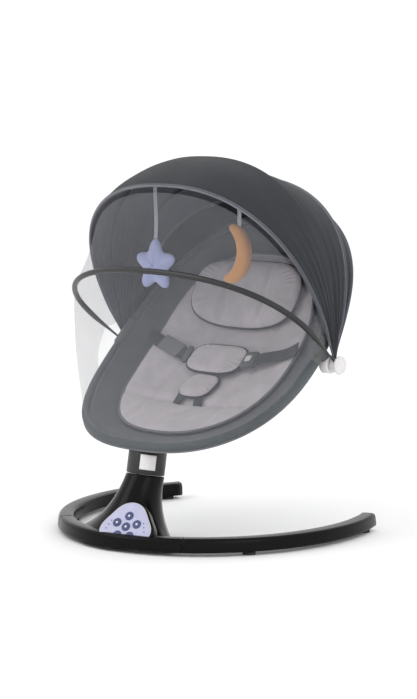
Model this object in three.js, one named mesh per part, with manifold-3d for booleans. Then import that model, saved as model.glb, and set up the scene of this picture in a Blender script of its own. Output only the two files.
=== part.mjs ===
// Electric baby swing: open curved base, tilted drive column, round reclined seat,
// three-panel hood on side hubs, insect net on a hoop, two hanging toys.
// Millimetres, +Z up. The baby faces -Y and the baby's left is +X.
// The origin is on the floor, in the middle of the foot under the column.
import * as THREE from 'three';
import { ParametricGeometry } from 'three/addons/geometries/ParametricGeometry.js';
import { RoundedBoxGeometry } from 'three/addons/geometries/RoundedBoxGeometry.js';
import { mergeVertices } from 'three/addons/utils/BufferGeometryUtils.js';
import Module from 'manifold-3d';

const wasm = await Module();
wasm.setup();

const DEG = Math.PI / 180;

// ---------- driving dimensions ----------
const GAP = 0.3;                 // gap between pieces that touch
const RUN = 0.8;                 // gap between pieces that turn or slide past each other

const FOOT_HEIGHT = 5;
const FOOT_RADIUS = 11;

const BASE_HALF_WIDTH = 271;     // outer edge of the open base, side to side
const BASE_HALF_LENGTH = 312;    // outer edge, front to back
const BASE_FRONT_Y = -85;        // outer edge at the front
const BASE_SWEEP = 117 * DEG;    // each leg runs this far round from the front
const LEG_WIDTH = 33;
const LEG_HEIGHT = 25;
const LEG_DRAFT = 3;             // each side leans in by this much over the height
const MOULDING_SWEEP = 33 * DEG; // the column moulding covers this much each side
const LEG_CAP_LENGTH = 7;
const WALL = 3;

const NECK_TILT = 10 * DEG;      // the drive axis leans back
const NECK_Y = 32;               // drive axis at the top of the column
const NECK_Z = 114;
const NECK_RADIUS = 33;
const NECK_LENGTH = 39;
const NECK_GAP = 2;
const FLARE_CLEAR = 5;           // the column's ends stop this far short of the legs' seams

const SHAFT_RADIUS = 6;
const BEARING_RADIUS = 13;
const BEARING_WIDTH = 8;

const PANEL_SIZE = 50;           // outer radius of the control panel's rounded triangle
const PANEL_THICKNESS = 3;
const PANEL_X = 42;
const PANEL_Y = -57;
const PANEL_Z = 43;
const PANEL_TURN = 14 * DEG;     // the panel is turned towards the parent's side
const PANEL_PITCH = 36 * DEG;    // its normal rises by this much
const BUTTON_RADIUS = 8;
const BUTTON_TRAVEL = 1;

const RING_HALF_WIDTH = 230;     // seat ring, measured to the tube's centre line
const RING_FRONT = 249;
const RING_BACK = 277;
const RING_Y = 208;              // the ring's widest place
const RING_Z = 316;
const RING_TILT_FRONT = 28 * DEG;
const RING_TILT_BACK = 65 * DEG;
const RING_POWER_FRONT = 2.5;    // above 2 squares the foot end a little
const RING_POWER_BACK = 2;
const TUBE_RADIUS = 7;
const SHELL_DEPTH = 58;          // how far the fabric seat hangs below the ring
const CLOTH = 3;                 // thickness of a fabric wall

const HUB_Y = 242;
const HUB_Z = 304;
const HUB_RADIUS = 16;
const HUB_INNER_X = 228;
const PIVOT_FIRST_X = 240;       // inner face of the first bow's eye
const EYE_THICKNESS = 3;
const EYE_RADIUS = 10;
const PIN_RADIUS = 4;
const KNOB_LENGTH = 6;

const BOW_RADIUS = 2.8;
const HOOP_RADIUS = 5;
const HOOP_REACH = 267;          // hub axis to the net hoop's top
const HOOP_ANGLE = 36.6 * DEG;   // above level, towards the feet
const HOOP_HALF_WIDTH = 260;
const HOOD_HALF_WIDTH = 256;     // the front panel; the others nest inside it
const HOOD_NEST = 6.3;
const FRONT_REACH = [348, 356];  // hub axis to each hood panel, at its front and rear edge
const MIDDLE_REACH = [340, 317];
const REAR_REACH = [312, 294];
const FRONT_START = 60.5 * DEG;  // each hood panel's two edges, round the hub axis
const FRONT_END = 80 * DEG;
const MIDDLE_START = 75 * DEG;
const MIDDLE_END = 100 * DEG;
const REAR_START = 95 * DEG;
const REAR_END = 110 * DEG;
const BOW_CORE = 98;             // where the arch's straight sides end, from the hub axis
const BOW_POWER = 2.35;          // above 2 squares the arch a little
const HOOD_CLEAR = 93;           // fabric stops this far from the hub axis

const TOY_Y = 167;               // both toys hang from the middle panel's front edge
const STAR_X = -104;
const STAR_Z = 461;
const STAR_SIZE = 43;
const MOON_X = 93;
const MOON_Z = 487;
const MOON_SIZE = 49;
const RIBBON_WIDTH = 9;

// ---------- materials ----------
const finish = (color, roughness, metalness = 0) =>
  new THREE.MeshStandardMaterial({ color, roughness, metalness });
const BLACK = finish(0x17181a, 0.3);
const SATIN = finish(0x1f2022, 0.45);
const RUBBER = finish(0x242424, 0.9);
const LILAC = finish(0xaeb0cb, 0.4);
const NAVY = finish(0x35406e, 0.4);
const GREEN = finish(0x2b5d3b, 0.6);
const STEEL = finish(0xb4b6b8, 0.35, 0.9);
const COPPER = finish(0xa8643a, 0.4, 0.8);
const WHITE = finish(0xe9e4e6, 0.4);
const GREY_CLOTH = finish(0x53585b, 0.95);
const HOOD_CLOTH = finish(0x50525c, 0.95);
const PAD_CLOTH = finish(0xa9a4a9, 0.95);
const WEBBING = finish(0x4a4e4e, 0.9);
const NET = finish(0xc9c9d2, 0.8);
const STAR_CLOTH = finish(0xb9bede, 0.95);
const MOON_CLOTH = finish(0xc98d52, 0.95);

const swing = new THREE.Group();

function add(name, geometry, material, parent = swing) {
  const mesh = new THREE.Mesh(geometry, material);
  mesh.name = name;
  parent.add(mesh);
  return mesh;
}

// ---------- solids ----------
function welded(geometry) {
  const bare = geometry.clone();
  for (const key of Object.keys(bare.attributes)) {
    if (key !== 'position') bare.deleteAttribute(key);
  }
  return mergeVertices(bare, 1e-3);
}

function signedVolume(geometry) {
  const p = geometry.attributes.position;
  const index = geometry.index;
  const corner = [0, 1, 2].map(() => new THREE.Vector3());
  let sum = 0;
  for (let i = 0; i < index.count; i += 3) {
    corner.forEach((v, k) => v.fromBufferAttribute(p, index.getX(i + k)));
    sum += corner[0].dot(corner[1].clone().cross(corner[2]));
  }
  return sum / 6;
}

function outward(geometry) {
  const bare = dropSlivers(welded(geometry));
  if (signedVolume(bare) < 0) bare.index.array.reverse();
  return bare;
}

function dropSlivers(geometry) {
  const kept = [];
  const index = geometry.index.array;
  for (let i = 0; i < index.length; i += 3) {
    const [a, b, c] = [index[i], index[i + 1], index[i + 2]];
    if (a !== b && b !== c && c !== a) kept.push(a, b, c);
  }
  geometry.setIndex(kept);
  return geometry;
}

function solid(geometry) {
  const bare = outward(geometry);
  return new wasm.Manifold(new wasm.Mesh({
    numProp: 3,
    vertProperties: new Float32Array(bare.attributes.position.array),
    triVerts: new Uint32Array(bare.index.array),
  }));
}

function meshed(body) {
  const mesh = body.getMesh();
  const geometry = new THREE.BufferGeometry();
  geometry.setAttribute('position', new THREE.Float32BufferAttribute(mesh.vertProperties, 3));
  geometry.setIndex(new THREE.Uint32BufferAttribute(mesh.triVerts, 1));
  return geometry;
}

const cut = (body, ...tools) => meshed(tools.reduce((rest, tool) => rest.subtract(solid(tool)), solid(body)));

// A closed body carried along t from 0 to 1. section(t, a) gives the point at turn a (0 to 1);
// both ends are closed with a fan to the middle of their section.
function loft(section, steps, around) {
  const middle = (t) => {
    const sum = new THREE.Vector3();
    for (let i = 0; i < around; i += 1) sum.add(section(t, i / around));
    return sum.divideScalar(around);
  };
  const ends = [middle(0), middle(1)];
  return outward(new ParametricGeometry((a, v, target) => {
    const row = Math.round(v * (steps + 2));
    if (row === 0) target.copy(ends[0]);
    else if (row === steps + 2) target.copy(ends[1]);
    else target.copy(section((row - 1) / steps, a % 1));
  }, around, steps + 2));
}

function tube(points, radius, steps, sides = 8) {
  const path = new THREE.CatmullRomCurve3(points, false, 'centripetal');
  const circle = new THREE.Shape();
  circle.absarc(0, 0, radius, 0, 2 * Math.PI);
  return outward(new THREE.ExtrudeGeometry(circle, {
    steps, extrudePath: path, curveSegments: sides / 2,
  }));
}

function cylinderBetween(from, to, radius, sides = 18) {
  const axis = to.clone().sub(from);
  const geometry = new THREE.CylinderGeometry(radius, radius, axis.length(), sides);
  geometry.applyQuaternion(new THREE.Quaternion().setFromUnitVectors(
    new THREE.Vector3(0, 1, 0), axis.clone().normalize()));
  return geometry.translate(...from.clone().add(to).divideScalar(2).toArray());
}

function cylinderX(x0, x1, y, z, radius, sides = 18) {
  return cylinderBetween(new THREE.Vector3(x0, y, z), new THREE.Vector3(x1, y, z), radius, sides);
}

function rounded(width, depth, height, radius, segments = 1) {
  return new RoundedBoxGeometry(width, depth, height, segments, radius);
}

const power = (value, exponent) => Math.sign(value) * Math.abs(value) ** exponent;
const mix = (a, b, t) => a + (b - a) * t;
const at = (x, y, z) => new THREE.Vector3(x, y, z);

// ---------- base ----------
const BASE_MIDDLE_Y = BASE_FRONT_Y + BASE_HALF_LENGTH;
const LEG_TOP = FOOT_HEIGHT + LEG_HEIGHT;

// A point on the base's plan: angle from the front, distance inside the outer edge.
function basePoint(angle, inset, z) {
  const x = (BASE_HALF_WIDTH - inset) * Math.sin(angle);
  const y = BASE_MIDDLE_Y - (BASE_HALF_LENGTH - inset) * Math.cos(angle);
  return at(x, y, z);
}

// The leg's section: a flat bottom, leaning sides and a softly crowned top.
function legOutline(inset = 0) {
  const half = LEG_WIDTH / 2 - inset;
  const top = half - LEG_DRAFT;
  const low = FOOT_HEIGHT + inset;
  const high = LEG_TOP - inset;
  const soft = 4;
  return [
    [-half, low], [half, low], [top + LEG_DRAFT * soft / LEG_HEIGHT, high - soft],
    [top - soft * 0.6, high - soft * 0.2], [-top + soft * 0.6, high - soft * 0.2],
    [-top - LEG_DRAFT * soft / LEG_HEIGHT, high - soft],
  ];
}

function leg(from, to, steps, inset = 0) {
  const outline = legOutline(inset);
  return loft((t, a) => {
    const [across, z] = outline[Math.round(a * outline.length) % outline.length];
    return basePoint(mix(from, to, t), LEG_WIDTH / 2 + across, z);
  }, steps, outline.length);
}

const capSweep = LEG_CAP_LENGTH / BASE_HALF_LENGTH;
const seam = GAP / BASE_HALF_LENGTH;
for (const [side, name] of [[-1, 'left'], [1, 'right']]) {
  const facing = -side;
  add(`${name}_leg`, leg(facing * (MOULDING_SWEEP + seam), facing * (BASE_SWEEP - capSweep), 26), BLACK);
  add(`${name}_leg_cap`, leg(facing * (BASE_SWEEP - capSweep + seam), facing * BASE_SWEEP, 2), SATIN);
}

// ---------- column ----------
const neckAxis = at(0, Math.sin(NECK_TILT), Math.cos(NECK_TILT));
const neckPoint = (distance) => at(0, NECK_Y, NECK_Z).addScaledVector(neckAxis, distance);

// The column's outline shrinks from the base to the neck. It widens fast near the floor,
// its ends bend back with the legs, and `inset` pulls it in to make the inside of the wall.
const COLUMN_FLARE = (BASE_HALF_WIDTH - LEG_WIDTH) * Math.sin(MOULDING_SWEEP) - FLARE_CLEAR;
const COLUMN_FRONT_Y = BASE_FRONT_Y;
const COLUMN_BACK_Y = 52;
function columnPoint(t, a, inset) {
  const turn = 2 * Math.PI * a;
  const low = Math.max(1 - t, 0) ** 2.6;
  const square = mix(1, 0.8, low);
  const halfWidth = mix(NECK_RADIUS, COLUMN_FLARE, low) - inset;
  const deepest = (COLUMN_BACK_Y - COLUMN_FRONT_Y) / 2;
  const halfDepth = mix(NECK_RADIUS, deepest, Math.max(1 - t, 0) ** 1.2) - inset;
  const across = power(Math.cos(turn), square);
  const ends = low * across * across;
  const spread = halfDepth * power(Math.sin(turn), square) * (1 - 0.76 * ends);
  const middle = mix((COLUMN_FRONT_Y + COLUMN_BACK_Y) / 2, NECK_Y, t) - 14.5 * ends;
  const rise = mix(FOOT_HEIGHT, NECK_Z - NECK_GAP, t) - Math.tan(NECK_TILT) * spread * t;
  return at(halfWidth * across, middle + spread, rise);
}

function columnBody(inset, t0, t1) {
  return loft((t, a) => columnPoint(mix(t0, t1, t), a, inset), 10, 20);
}

const COVER_THICKNESS = 3;
const CAVITY_TOP = 0.86;
const BEARING_TUBE_LENGTH = 54;
const seatHigh = -NECK_GAP - WALL;
const seatLow = -BEARING_TUBE_LENGTH;
const onAxis = (from, to, radius, sides) =>
  cylinderBetween(neckPoint(from), neckPoint(to), radius, sides);

function outline(points) {
  const shape = new THREE.Shape();
  points.forEach(([x, y], i) => (i ? shape.lineTo(x, y) : shape.moveTo(x, y)));
  shape.closePath();
  return shape;
}

function slab(shape, low, high) {
  const geometry = new THREE.ExtrudeGeometry(shape, {
    depth: high - low, bevelEnabled: false, curveSegments: 8,
  });
  return geometry.translate(0, 0, low);
}

// The panel's own frame: x across, y up the slope, z out of the face.
const panelFrame = new THREE.Matrix4()
  .makeTranslation(PANEL_X, PANEL_Y, PANEL_Z)
  .multiply(new THREE.Matrix4().makeRotationZ(PANEL_TURN))
  .multiply(new THREE.Matrix4().makeRotationX(Math.PI / 2 - PANEL_PITCH));

function panelShape(size) {
  const shape = new THREE.Shape();
  const steps = 24;
  for (let i = 0; i < steps; i += 1) {
    const turn = 2 * Math.PI * i / steps;
    const radius = size * (0.86 - 0.1 * Math.sin(3 * turn));
    const x = radius * 1.08 * Math.cos(turn);
    const y = radius * 0.88 * Math.sin(turn);
    if (i === 0) shape.moveTo(x, y);
    else shape.lineTo(x, y);
  }
  return shape;
}

function onPanel(shape, low, high) {
  return slab(shape, low, high).applyMatrix4(panelFrame);
}

function circle(x, y, radius) {
  const shape = new THREE.Shape();
  shape.absarc(x, y, radius, 0, 2 * Math.PI);
  return shape;
}

const BUTTON_RING = 20;
const BUTTON_HOLE_GAP = 0.5;
const BUTTON_PROUD = 1.3;
const BUTTON_BACK = -PANEL_THICKNESS - 2;
const RECESS_LEDGE = -PANEL_THICKNESS - GAP;
const RECESS_FLOOR = BUTTON_BACK - BUTTON_TRAVEL - 1.5;
const BOSS_BACK = RECESS_FLOOR - WALL;
const PANEL_RIM = 5;
const buttonPlaces = [[0, -3, 'power'], ...['up', 'music', 'mode', 'timer', 'swing'].map((name, i) => {
  const turn = Math.PI / 2 + 2 * Math.PI * i / 5;
  return [BUTTON_RING * Math.cos(turn), BUTTON_RING * Math.sin(turn) - 3, name];
})];

// The cavity is the column's inside, opened at the floor for the bottom cover.
const BELOW_FLOOR = -0.03;
const cavity = solid(columnBody(WALL, BELOW_FLOOR, CAVITY_TOP));

function columnHousing() {
  const boss = solid(onPanel(panelShape(PANEL_SIZE + PANEL_RIM), BOSS_BACK, 0))
    .trimByPlane([0, 0, 1], FOOT_HEIGHT + COVER_THICKNESS + GAP);
  const recess = solid(onPanel(panelShape(PANEL_SIZE + GAP), RECESS_LEDGE, 30));
  const pocket = solid(onPanel(panelShape(PANEL_SIZE - 4), RECESS_FLOOR, 0));
  const bearingTube = solid(onAxis(seatLow, seatHigh, BEARING_RADIUS + WALL, 20));
  const high = solid(onAxis(seatHigh - BEARING_WIDTH - GAP, 30, BEARING_RADIUS + GAP, 20));
  const low = solid(onAxis(seatLow - 30, seatLow + BEARING_WIDTH + GAP, BEARING_RADIUS + GAP, 20));
  const bore = solid(onAxis(seatLow - 30, 30, SHAFT_RADIUS + RUN, 24));
  const jackHole = solid(cylinderBetween(at(0, 20, JACK_Z), at(0, 80, JACK_Z), JACK_RADIUS + GAP, 20));
  return solid(columnBody(0, 0, 1))
    .add(solid(leg(-MOULDING_SWEEP, MOULDING_SWEEP, 14)))
    .subtract(cavity)
    .add(bearingTube).add(boss)
    .subtract(recess).subtract(pocket)
    .subtract(high).subtract(low).subtract(bore).subtract(jackHole);
}

const JACK_Z = 24;
const JACK_RADIUS = 5;
add('column_housing', meshed(columnHousing()), BLACK);

const coverPlate = solid(columnBody(WALL + GAP, BELOW_FLOOR, CAVITY_TOP))
  .trimByPlane([0, 0, -1], -(FOOT_HEIGHT + COVER_THICKNESS))
  .trimByPlane([0, 0, 1], FOOT_HEIGHT);
add('column_bottom_cover', meshed(coverPlate), SATIN);

function backWallY(z) {
  const t = (z - FOOT_HEIGHT) / (NECK_Z - NECK_GAP - FOOT_HEIGHT);
  return columnPoint(t, 0.25, 0).y;
}
const jackFace = backWallY(JACK_Z) + 0.5;
add('power_jack', cut(
  cylinderBetween(at(0, jackFace - 16, JACK_Z), at(0, jackFace, JACK_Z), JACK_RADIUS, 20),
  cylinderBetween(at(0, jackFace - 10, JACK_Z), at(0, jackFace + 1, JACK_Z), 2.8, 16)), SATIN);

function foot(x, y) {
  return cylinderBetween(at(x, y, 0), at(x, y, FOOT_HEIGHT - GAP), FOOT_RADIUS, 24);
}
add('front_foot', foot(0, 0), RUBBER);
const FOOT_ANGLES = { side: 56 * DEG, rear: 112 * DEG };
for (const [place, angle] of Object.entries(FOOT_ANGLES)) {
  for (const [side, name] of [[1, 'left'], [-1, 'right']]) {
    const spot = basePoint(side * angle, LEG_WIDTH / 2, 0);
    add(`${name}_${place}_foot`, foot(spot.x, spot.y), RUBBER);
  }
}

// ---------- control panel ----------
const panelPlate = panelShape(PANEL_SIZE);
for (const [x, y] of buttonPlaces) panelPlate.holes.push(circle(x, y, BUTTON_RADIUS + BUTTON_HOLE_GAP));
add('control_panel', outward(onPanel(panelPlate, -PANEL_THICKNESS, 0)), LILAC);
for (const [x, y, name] of buttonPlaces) {
  add(`button_${name}`, outward(onPanel(circle(x, y, BUTTON_RADIUS), BUTTON_BACK, BUTTON_PROUD)), NAVY);
}

// ---------- drive ----------
const ARM_LEVEL = seatLow - 10;
const ARM_LENGTH = 34;
const SHAFT_TOP = 24;
const neckTurn = new THREE.Matrix4().makeTranslation(0, NECK_Y, NECK_Z)
  .multiply(new THREE.Matrix4().makeRotationX(-NECK_TILT));
const onNeck = (geometry) => outward(geometry).applyMatrix4(neckTurn);

add('output_shaft', outward(onAxis(ARM_LEVEL - 5, SHAFT_TOP, SHAFT_RADIUS, 24)), STEEL);
for (const [name, top] of [['upper_bearing', seatHigh], ['lower_bearing', seatLow + BEARING_WIDTH]]) {
  const ring = onAxis(top - BEARING_WIDTH, top, BEARING_RADIUS, 20);
  add(name, cut(ring,
    onAxis(top - BEARING_WIDTH - 1, top + 1, SHAFT_RADIUS + 0.1, 24)), STEEL);
}
const armBar = slab(outline([[-8, 8], [-5, -ARM_LENGTH], [5, -ARM_LENGTH], [8, 8]]), ARM_LEVEL - 3, ARM_LEVEL + 3);
const armBore = slab(circle(0, 0, SHAFT_RADIUS + GAP), ARM_LEVEL - 10, ARM_LEVEL + 10);
add('magnet_arm', onNeck(cut(armBar, armBore)), SATIN);
const coilSpot = neckPoint(ARM_LEVEL).add(at(0, -ARM_LENGTH + 4, 0));
const coilTop = coilSpot.z - 12;
const coilFloor = FOOT_HEIGHT + COVER_THICKNESS + GAP;
add('drive_coil', outward(cylinderBetween(
  at(0, coilSpot.y, coilFloor), at(0, coilSpot.y, coilTop), 10, 24)), COPPER);
const board = rounded(46, 30, 1.6, 0.5).translate(48, -12, coilFloor + 1.1);
add('control_board', outward(board), GREEN);
add('speaker', outward(cylinderBetween(
  at(-58, -18, coilFloor), at(-58, -18, coilFloor + 9), 13, 24)), SATIN);

const neckSolid = slab(circle(0, 0, NECK_RADIUS), 0, NECK_LENGTH);
const neckHole = slab(circle(0, 0, SHAFT_RADIUS + GAP), -5, SHAFT_TOP + GAP);
add('neck_housing', onNeck(cut(neckSolid, neckHole)), SATIN);

const LABEL_SPAN = 24 * DEG;
const LABEL_TURN = -43 * DEG;
function labelShape() {
  const shape = new THREE.Shape();
  const inner = NECK_RADIUS + GAP;
  const from = LABEL_TURN - LABEL_SPAN;
  const to = LABEL_TURN + LABEL_SPAN;
  shape.absarc(0, 0, inner + 0.5, from, to);
  shape.absarc(0, 0, inner, to, from, true);
  shape.closePath();
  return shape;
}
add('neck_label', onNeck(slab(labelShape(), 8, NECK_LENGTH - 5)), WHITE);

// ---------- seat ring ----------
// The ring lies on a sheet that curves up from the feet to the head. u runs along the sheet
// from the ring's widest place (negative towards the feet), x across, lift out of the sheet.
const RING_LENGTH = RING_FRONT + RING_BACK;
const ringTilt = (u) => mix(RING_TILT_FRONT, RING_TILT_BACK, (u + RING_FRONT) / RING_LENGTH);
const ringBend = (RING_TILT_BACK - RING_TILT_FRONT) / RING_LENGTH;

function seatPoint(u, x, lift = 0) {
  const here = ringTilt(u);
  const start = ringTilt(0);
  const y = RING_Y + (Math.sin(here) - Math.sin(start)) / ringBend;
  const z = RING_Z - (Math.cos(here) - Math.cos(start)) / ringBend;
  return at(x, y - lift * Math.sin(here), z + lift * Math.cos(here));
}

// A point on the ring's outline, pulled in by `inset`. turn 0 is the head, pi the feet.
function ringOutline(turn, inset) {
  const ahead = Math.cos(turn) > 0;
  const exponent = 2 / (ahead ? RING_POWER_BACK : RING_POWER_FRONT);
  const reach = (ahead ? RING_BACK : RING_FRONT) - inset;
  const halfWidth = RING_HALF_WIDTH - inset;
  return [reach * power(Math.cos(turn), exponent), halfWidth * power(Math.sin(turn), exponent)];
}

function halfWidthAt(u, inset) {
  const ahead = u > 0;
  const exponent = ahead ? RING_POWER_BACK : RING_POWER_FRONT;
  const reach = (ahead ? RING_BACK : RING_FRONT) - inset;
  const left = Math.max(1 - (Math.abs(u) / reach) ** exponent, 0);
  return (RING_HALF_WIDTH - inset) * left ** (1 / exponent);
}

const HUB_TURN = 86 * DEG;
const HUB_BLOCK_HALF = 5 * DEG;
function ringTube(from, to, steps) {
  const points = [];
  for (let i = 0; i <= steps; i += 1) {
    const [u, x] = ringOutline(mix(from, to, i / steps), 0);
    points.push(seatPoint(u, x));
  }
  return tube(points, TUBE_RADIUS, steps, 8);
}
const joinTurn = 0.004;
add('seat_front_tube', ringTube(HUB_TURN + joinTurn, 2 * Math.PI - HUB_TURN - joinTurn, 24), STEEL);
add('seat_rear_tube', ringTube(-HUB_TURN + joinTurn, HUB_TURN - joinTurn, 24), STEEL);

// ---------- seat shell, spine ----------
// How far the fabric hangs below the ring's sheet.
function bellyDepth(u) {
  const t = (u + RING_FRONT) / RING_LENGTH;
  return SHELL_DEPTH * Math.sin(Math.PI * t) ** 0.9 * mix(0.8, 1.1, t);
}
const SHELL_INSET = TUBE_RADIUS + 6;
function shellPoint(u, q, drop) {
  const x = q * halfWidthAt(u, SHELL_INSET);
  const lift = -bellyDepth(u) * (1 - q * q) ** 0.75 - drop;
  return seatPoint(u, x, lift);
}

function sheetSolid(point, steps, across) {
  const count = 2 * (across + 1);
  return loft((t, a) => {
    const i = Math.round(a * count) % count;
    const outer = i <= across;
    const q = outer ? mix(-1, 1, i / across) : mix(1, -1, (i - across - 1) / across);
    return point(t, q, outer);
  }, steps, count);
}

const SHELL_END = SHELL_INSET + 3;
const alongShell = (t) => mix(-RING_FRONT + SHELL_END, RING_BACK - SHELL_END, (1 - Math.cos(Math.PI * t)) / 2);
add('seat_shell', sheetSolid(
  (t, q, outer) => shellPoint(alongShell(t), q, outer ? CLOTH : 0), 20, 12), GREY_CLOTH);

const SPINE_WIDTH = 30;
const SPINE_THICKNESS = 5;
const SPINE_START = -150;
const SPINE_END = RING_BACK;
function spinePoint(t, side, outer) {
  const u = mix(SPINE_START, SPINE_END, t);
  const tuck = Math.max(bellyDepth(u) + CLOTH + RUN, TUBE_RADIUS + RUN);
  return seatPoint(u, side * SPINE_WIDTH / 2, -tuck - (outer ? SPINE_THICKNESS : 0));
}
add('seat_spine', sheetSolid(spinePoint, 24, 2), SATIN);

const BRACKET_WIDTH = 44;
const bracketBlock = onNeck(slab(outline([
  [-BRACKET_WIDTH / 2, -NECK_RADIUS + 3], [BRACKET_WIDTH / 2, -NECK_RADIUS + 3],
  [BRACKET_WIDTH / 2, NECK_RADIUS - 8], [-BRACKET_WIDTH / 2, NECK_RADIUS - 8]]),
  NECK_LENGTH + GAP, NECK_LENGTH + 40));
function underShell(t, side, outer) {
  const u = mix(-RING_FRONT - 30, 40, t);
  const tuck = Math.max(bellyDepth(Math.max(u, -RING_FRONT)) + CLOTH + RUN, TUBE_RADIUS + RUN);
  return seatPoint(u, side * 60, outer ? 120 : -tuck);
}
const aboveShell = sheetSolid(underShell, 20, 2);
const spineRoom = sheetSolid((t, side, outer) => {
  const grown = spinePoint(mix(-0.01, 1, t), side * 1.04, outer);
  return grown.addScaledVector(seatPoint(0, 0, outer ? -1 : 1).sub(seatPoint(0, 0, 0)), GAP * 2);
}, 24, 2);
add('seat_bracket', cut(bracketBlock, aboveShell, spineRoom), SATIN);

// ---------- padding and harness ----------
const PAD_THICKNESS = 14;
const PAD_FRONT = -203;
const PAD_BACK = 214;
const PAD_HALF_WIDTH = RING_HALF_WIDTH - 62;
const PAD_POWER = 2.5;
const PAD_LIFT = 2;
// The pad lies inside the shell, following the shell's hollow at a small distance.
function padPoint(t, q, lift) {
  const v = -0.985 * Math.cos(Math.PI * t);
  const u = mix(PAD_FRONT, PAD_BACK, (v + 1) / 2);
  const half = PAD_HALF_WIDTH * (1 - Math.abs(v) ** PAD_POWER) ** (1 / PAD_POWER);
  const x = q * half;
  const shellQ = x / halfWidthAt(u, SHELL_INSET);
  const floor = -bellyDepth(u) * (1 - shellQ * shellQ) ** 0.75;
  return seatPoint(u, x, floor + lift);
}
add('seat_pad', sheetSolid(
  (t, q, outer) => padPoint(t, q, outer ? PAD_LIFT : PAD_LIFT + PAD_THICKNESS), 16, 8), PAD_CLOTH);

// A cushion that lies on the pad: centre u, half length, half width, lift range.
function onPad(u0, halfLength, halfWidth, low, high, x0 = 0, squareness = 0.6) {
  return sheetSolid((t, q, outer) => {
    const v = mix(-0.985, 0.985, (1 - Math.cos(Math.PI * t)) / 2);
    const half = halfWidth * (1 - Math.abs(v) ** 3.2) ** squareness;
    const u = u0 + v * halfLength;
    const x = x0 + q * half;
    const shellQ = Math.min(Math.abs(x) / halfWidthAt(u, SHELL_INSET), 1);
    const floor = -bellyDepth(u) * (1 - shellQ * shellQ) ** 0.75 + PAD_LIFT + PAD_THICKNESS;
    return seatPoint(u, x, floor + (outer ? low : high));
  }, 10, 5);
}
const ON_PAD = 1.5;
const BELLY_U = -8;
const BELLY_HALF_LENGTH = 32;
const BELLY_HALF_WIDTH = 62;
const BELLY_LOW = 12;
const BELLY_THICKNESS = 12;
const PILLOW_HALF_WIDTH = PAD_HALF_WIDTH - 43;
add('head_pillow', onPad(128, 62, PILLOW_HALF_WIDTH, ON_PAD, 26), PAD_CLOTH);
const BELLY_HIGH = BELLY_LOW + BELLY_THICKNESS;
add('belly_pad', onPad(BELLY_U, BELLY_HALF_LENGTH, BELLY_HALF_WIDTH, BELLY_LOW, BELLY_HIGH), PAD_CLOTH);
const CROTCH_TOP = BELLY_U - BELLY_HALF_LENGTH - 1.5;
const CROTCH_HALF = 30;
add('crotch_strap', onPad(CROTCH_TOP - CROTCH_HALF, CROTCH_HALF, 34, ON_PAD, 16), PAD_CLOTH);

// A waist strap from the belly pad out to the seat's side.
const STRAP_HALF = 14;
const STRAP_THICKNESS = 3;
const STRAP_OUTER = PAD_HALF_WIDTH - 8;
function waistStrap(from, to, u0, u1) {
  return sheetSolid((t, q, outer) => {
    const x = mix(from, to, t);
    const u = mix(u0, u1, t) + q * STRAP_HALF;
    const shellQ = Math.abs(x) / halfWidthAt(u, SHELL_INSET);
    const floor = -bellyDepth(u) * (1 - shellQ * shellQ) ** 0.75 + PAD_LIFT + PAD_THICKNESS;
    const rise = mix(BELLY_LOW + 4, 2, Math.min(t * 1.4, 1));
    return seatPoint(u, x, floor + rise + (outer ? 0 : STRAP_THICKNESS));
  }, 8, 2);
}
const BUCKLE_HALF = 17;
const beside = BELLY_HALF_WIDTH + GAP + 1;
const buckleEnd = beside + 2 * BUCKLE_HALF;
const ADJUSTER_HALF = 5;
const STRAP_END_U = BELLY_U + 26;
const adjusterEnd = beside + 2 * ADJUSTER_HALF;
add('right_waist_strap', waistStrap(-adjusterEnd - 1, -STRAP_OUTER, BELLY_U, STRAP_END_U), WEBBING);
add('left_waist_strap', waistStrap(buckleEnd + 1, STRAP_OUTER, BELLY_U, STRAP_END_U), WEBBING);

function padFrame(u, x, lift) {
  const shellQ = x / halfWidthAt(u, SHELL_INSET);
  const floor = -bellyDepth(u) * (1 - shellQ * shellQ) ** 0.75 + PAD_LIFT + PAD_THICKNESS;
  const place = seatPoint(u, x, floor + lift);
  return new THREE.Matrix4().makeTranslation(place.x, place.y, place.z)
    .multiply(new THREE.Matrix4().makeRotationX(ringTilt(u)));
}
const slopeTurn = (side) => new THREE.Matrix4().makeRotationY(-side * 12 * DEG);
const buckleFrame = padFrame(BELLY_U, beside + BUCKLE_HALF, BELLY_LOW + 7).multiply(slopeTurn(1));
const BUCKLE_THICKNESS = 9;
const BUCKLE_HEIGHT = 34;
const buckleButton = rounded(14, 12, 3, 1);
const buckleWell = new THREE.BoxGeometry(14.8, 12.8, 8);
const BUTTON_WELL_DEPTH = 3.4;
add('waist_buckle', meshed(solid(rounded(2 * BUCKLE_HALF - 1, BUCKLE_HEIGHT, BUCKLE_THICKNESS, 3))
  .subtract(solid(buckleWell.translate(0, 0, BUCKLE_THICKNESS / 2 - BUTTON_WELL_DEPTH + 4)))), WEBBING)
  .applyMatrix4(buckleFrame);
add('buckle_button', outward(buckleButton.translate(0, 0, BUCKLE_THICKNESS / 2 + 0.4)), WHITE)
  .applyMatrix4(buckleFrame);
const adjusterFrame = padFrame(BELLY_U, -beside - ADJUSTER_HALF, BELLY_LOW + 7).multiply(slopeTurn(-1));
add('strap_adjuster', outward(rounded(2 * ADJUSTER_HALF - 1, BUCKLE_HEIGHT + 4, 6, 2)), WEBBING)
  .applyMatrix4(adjusterFrame);

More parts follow.
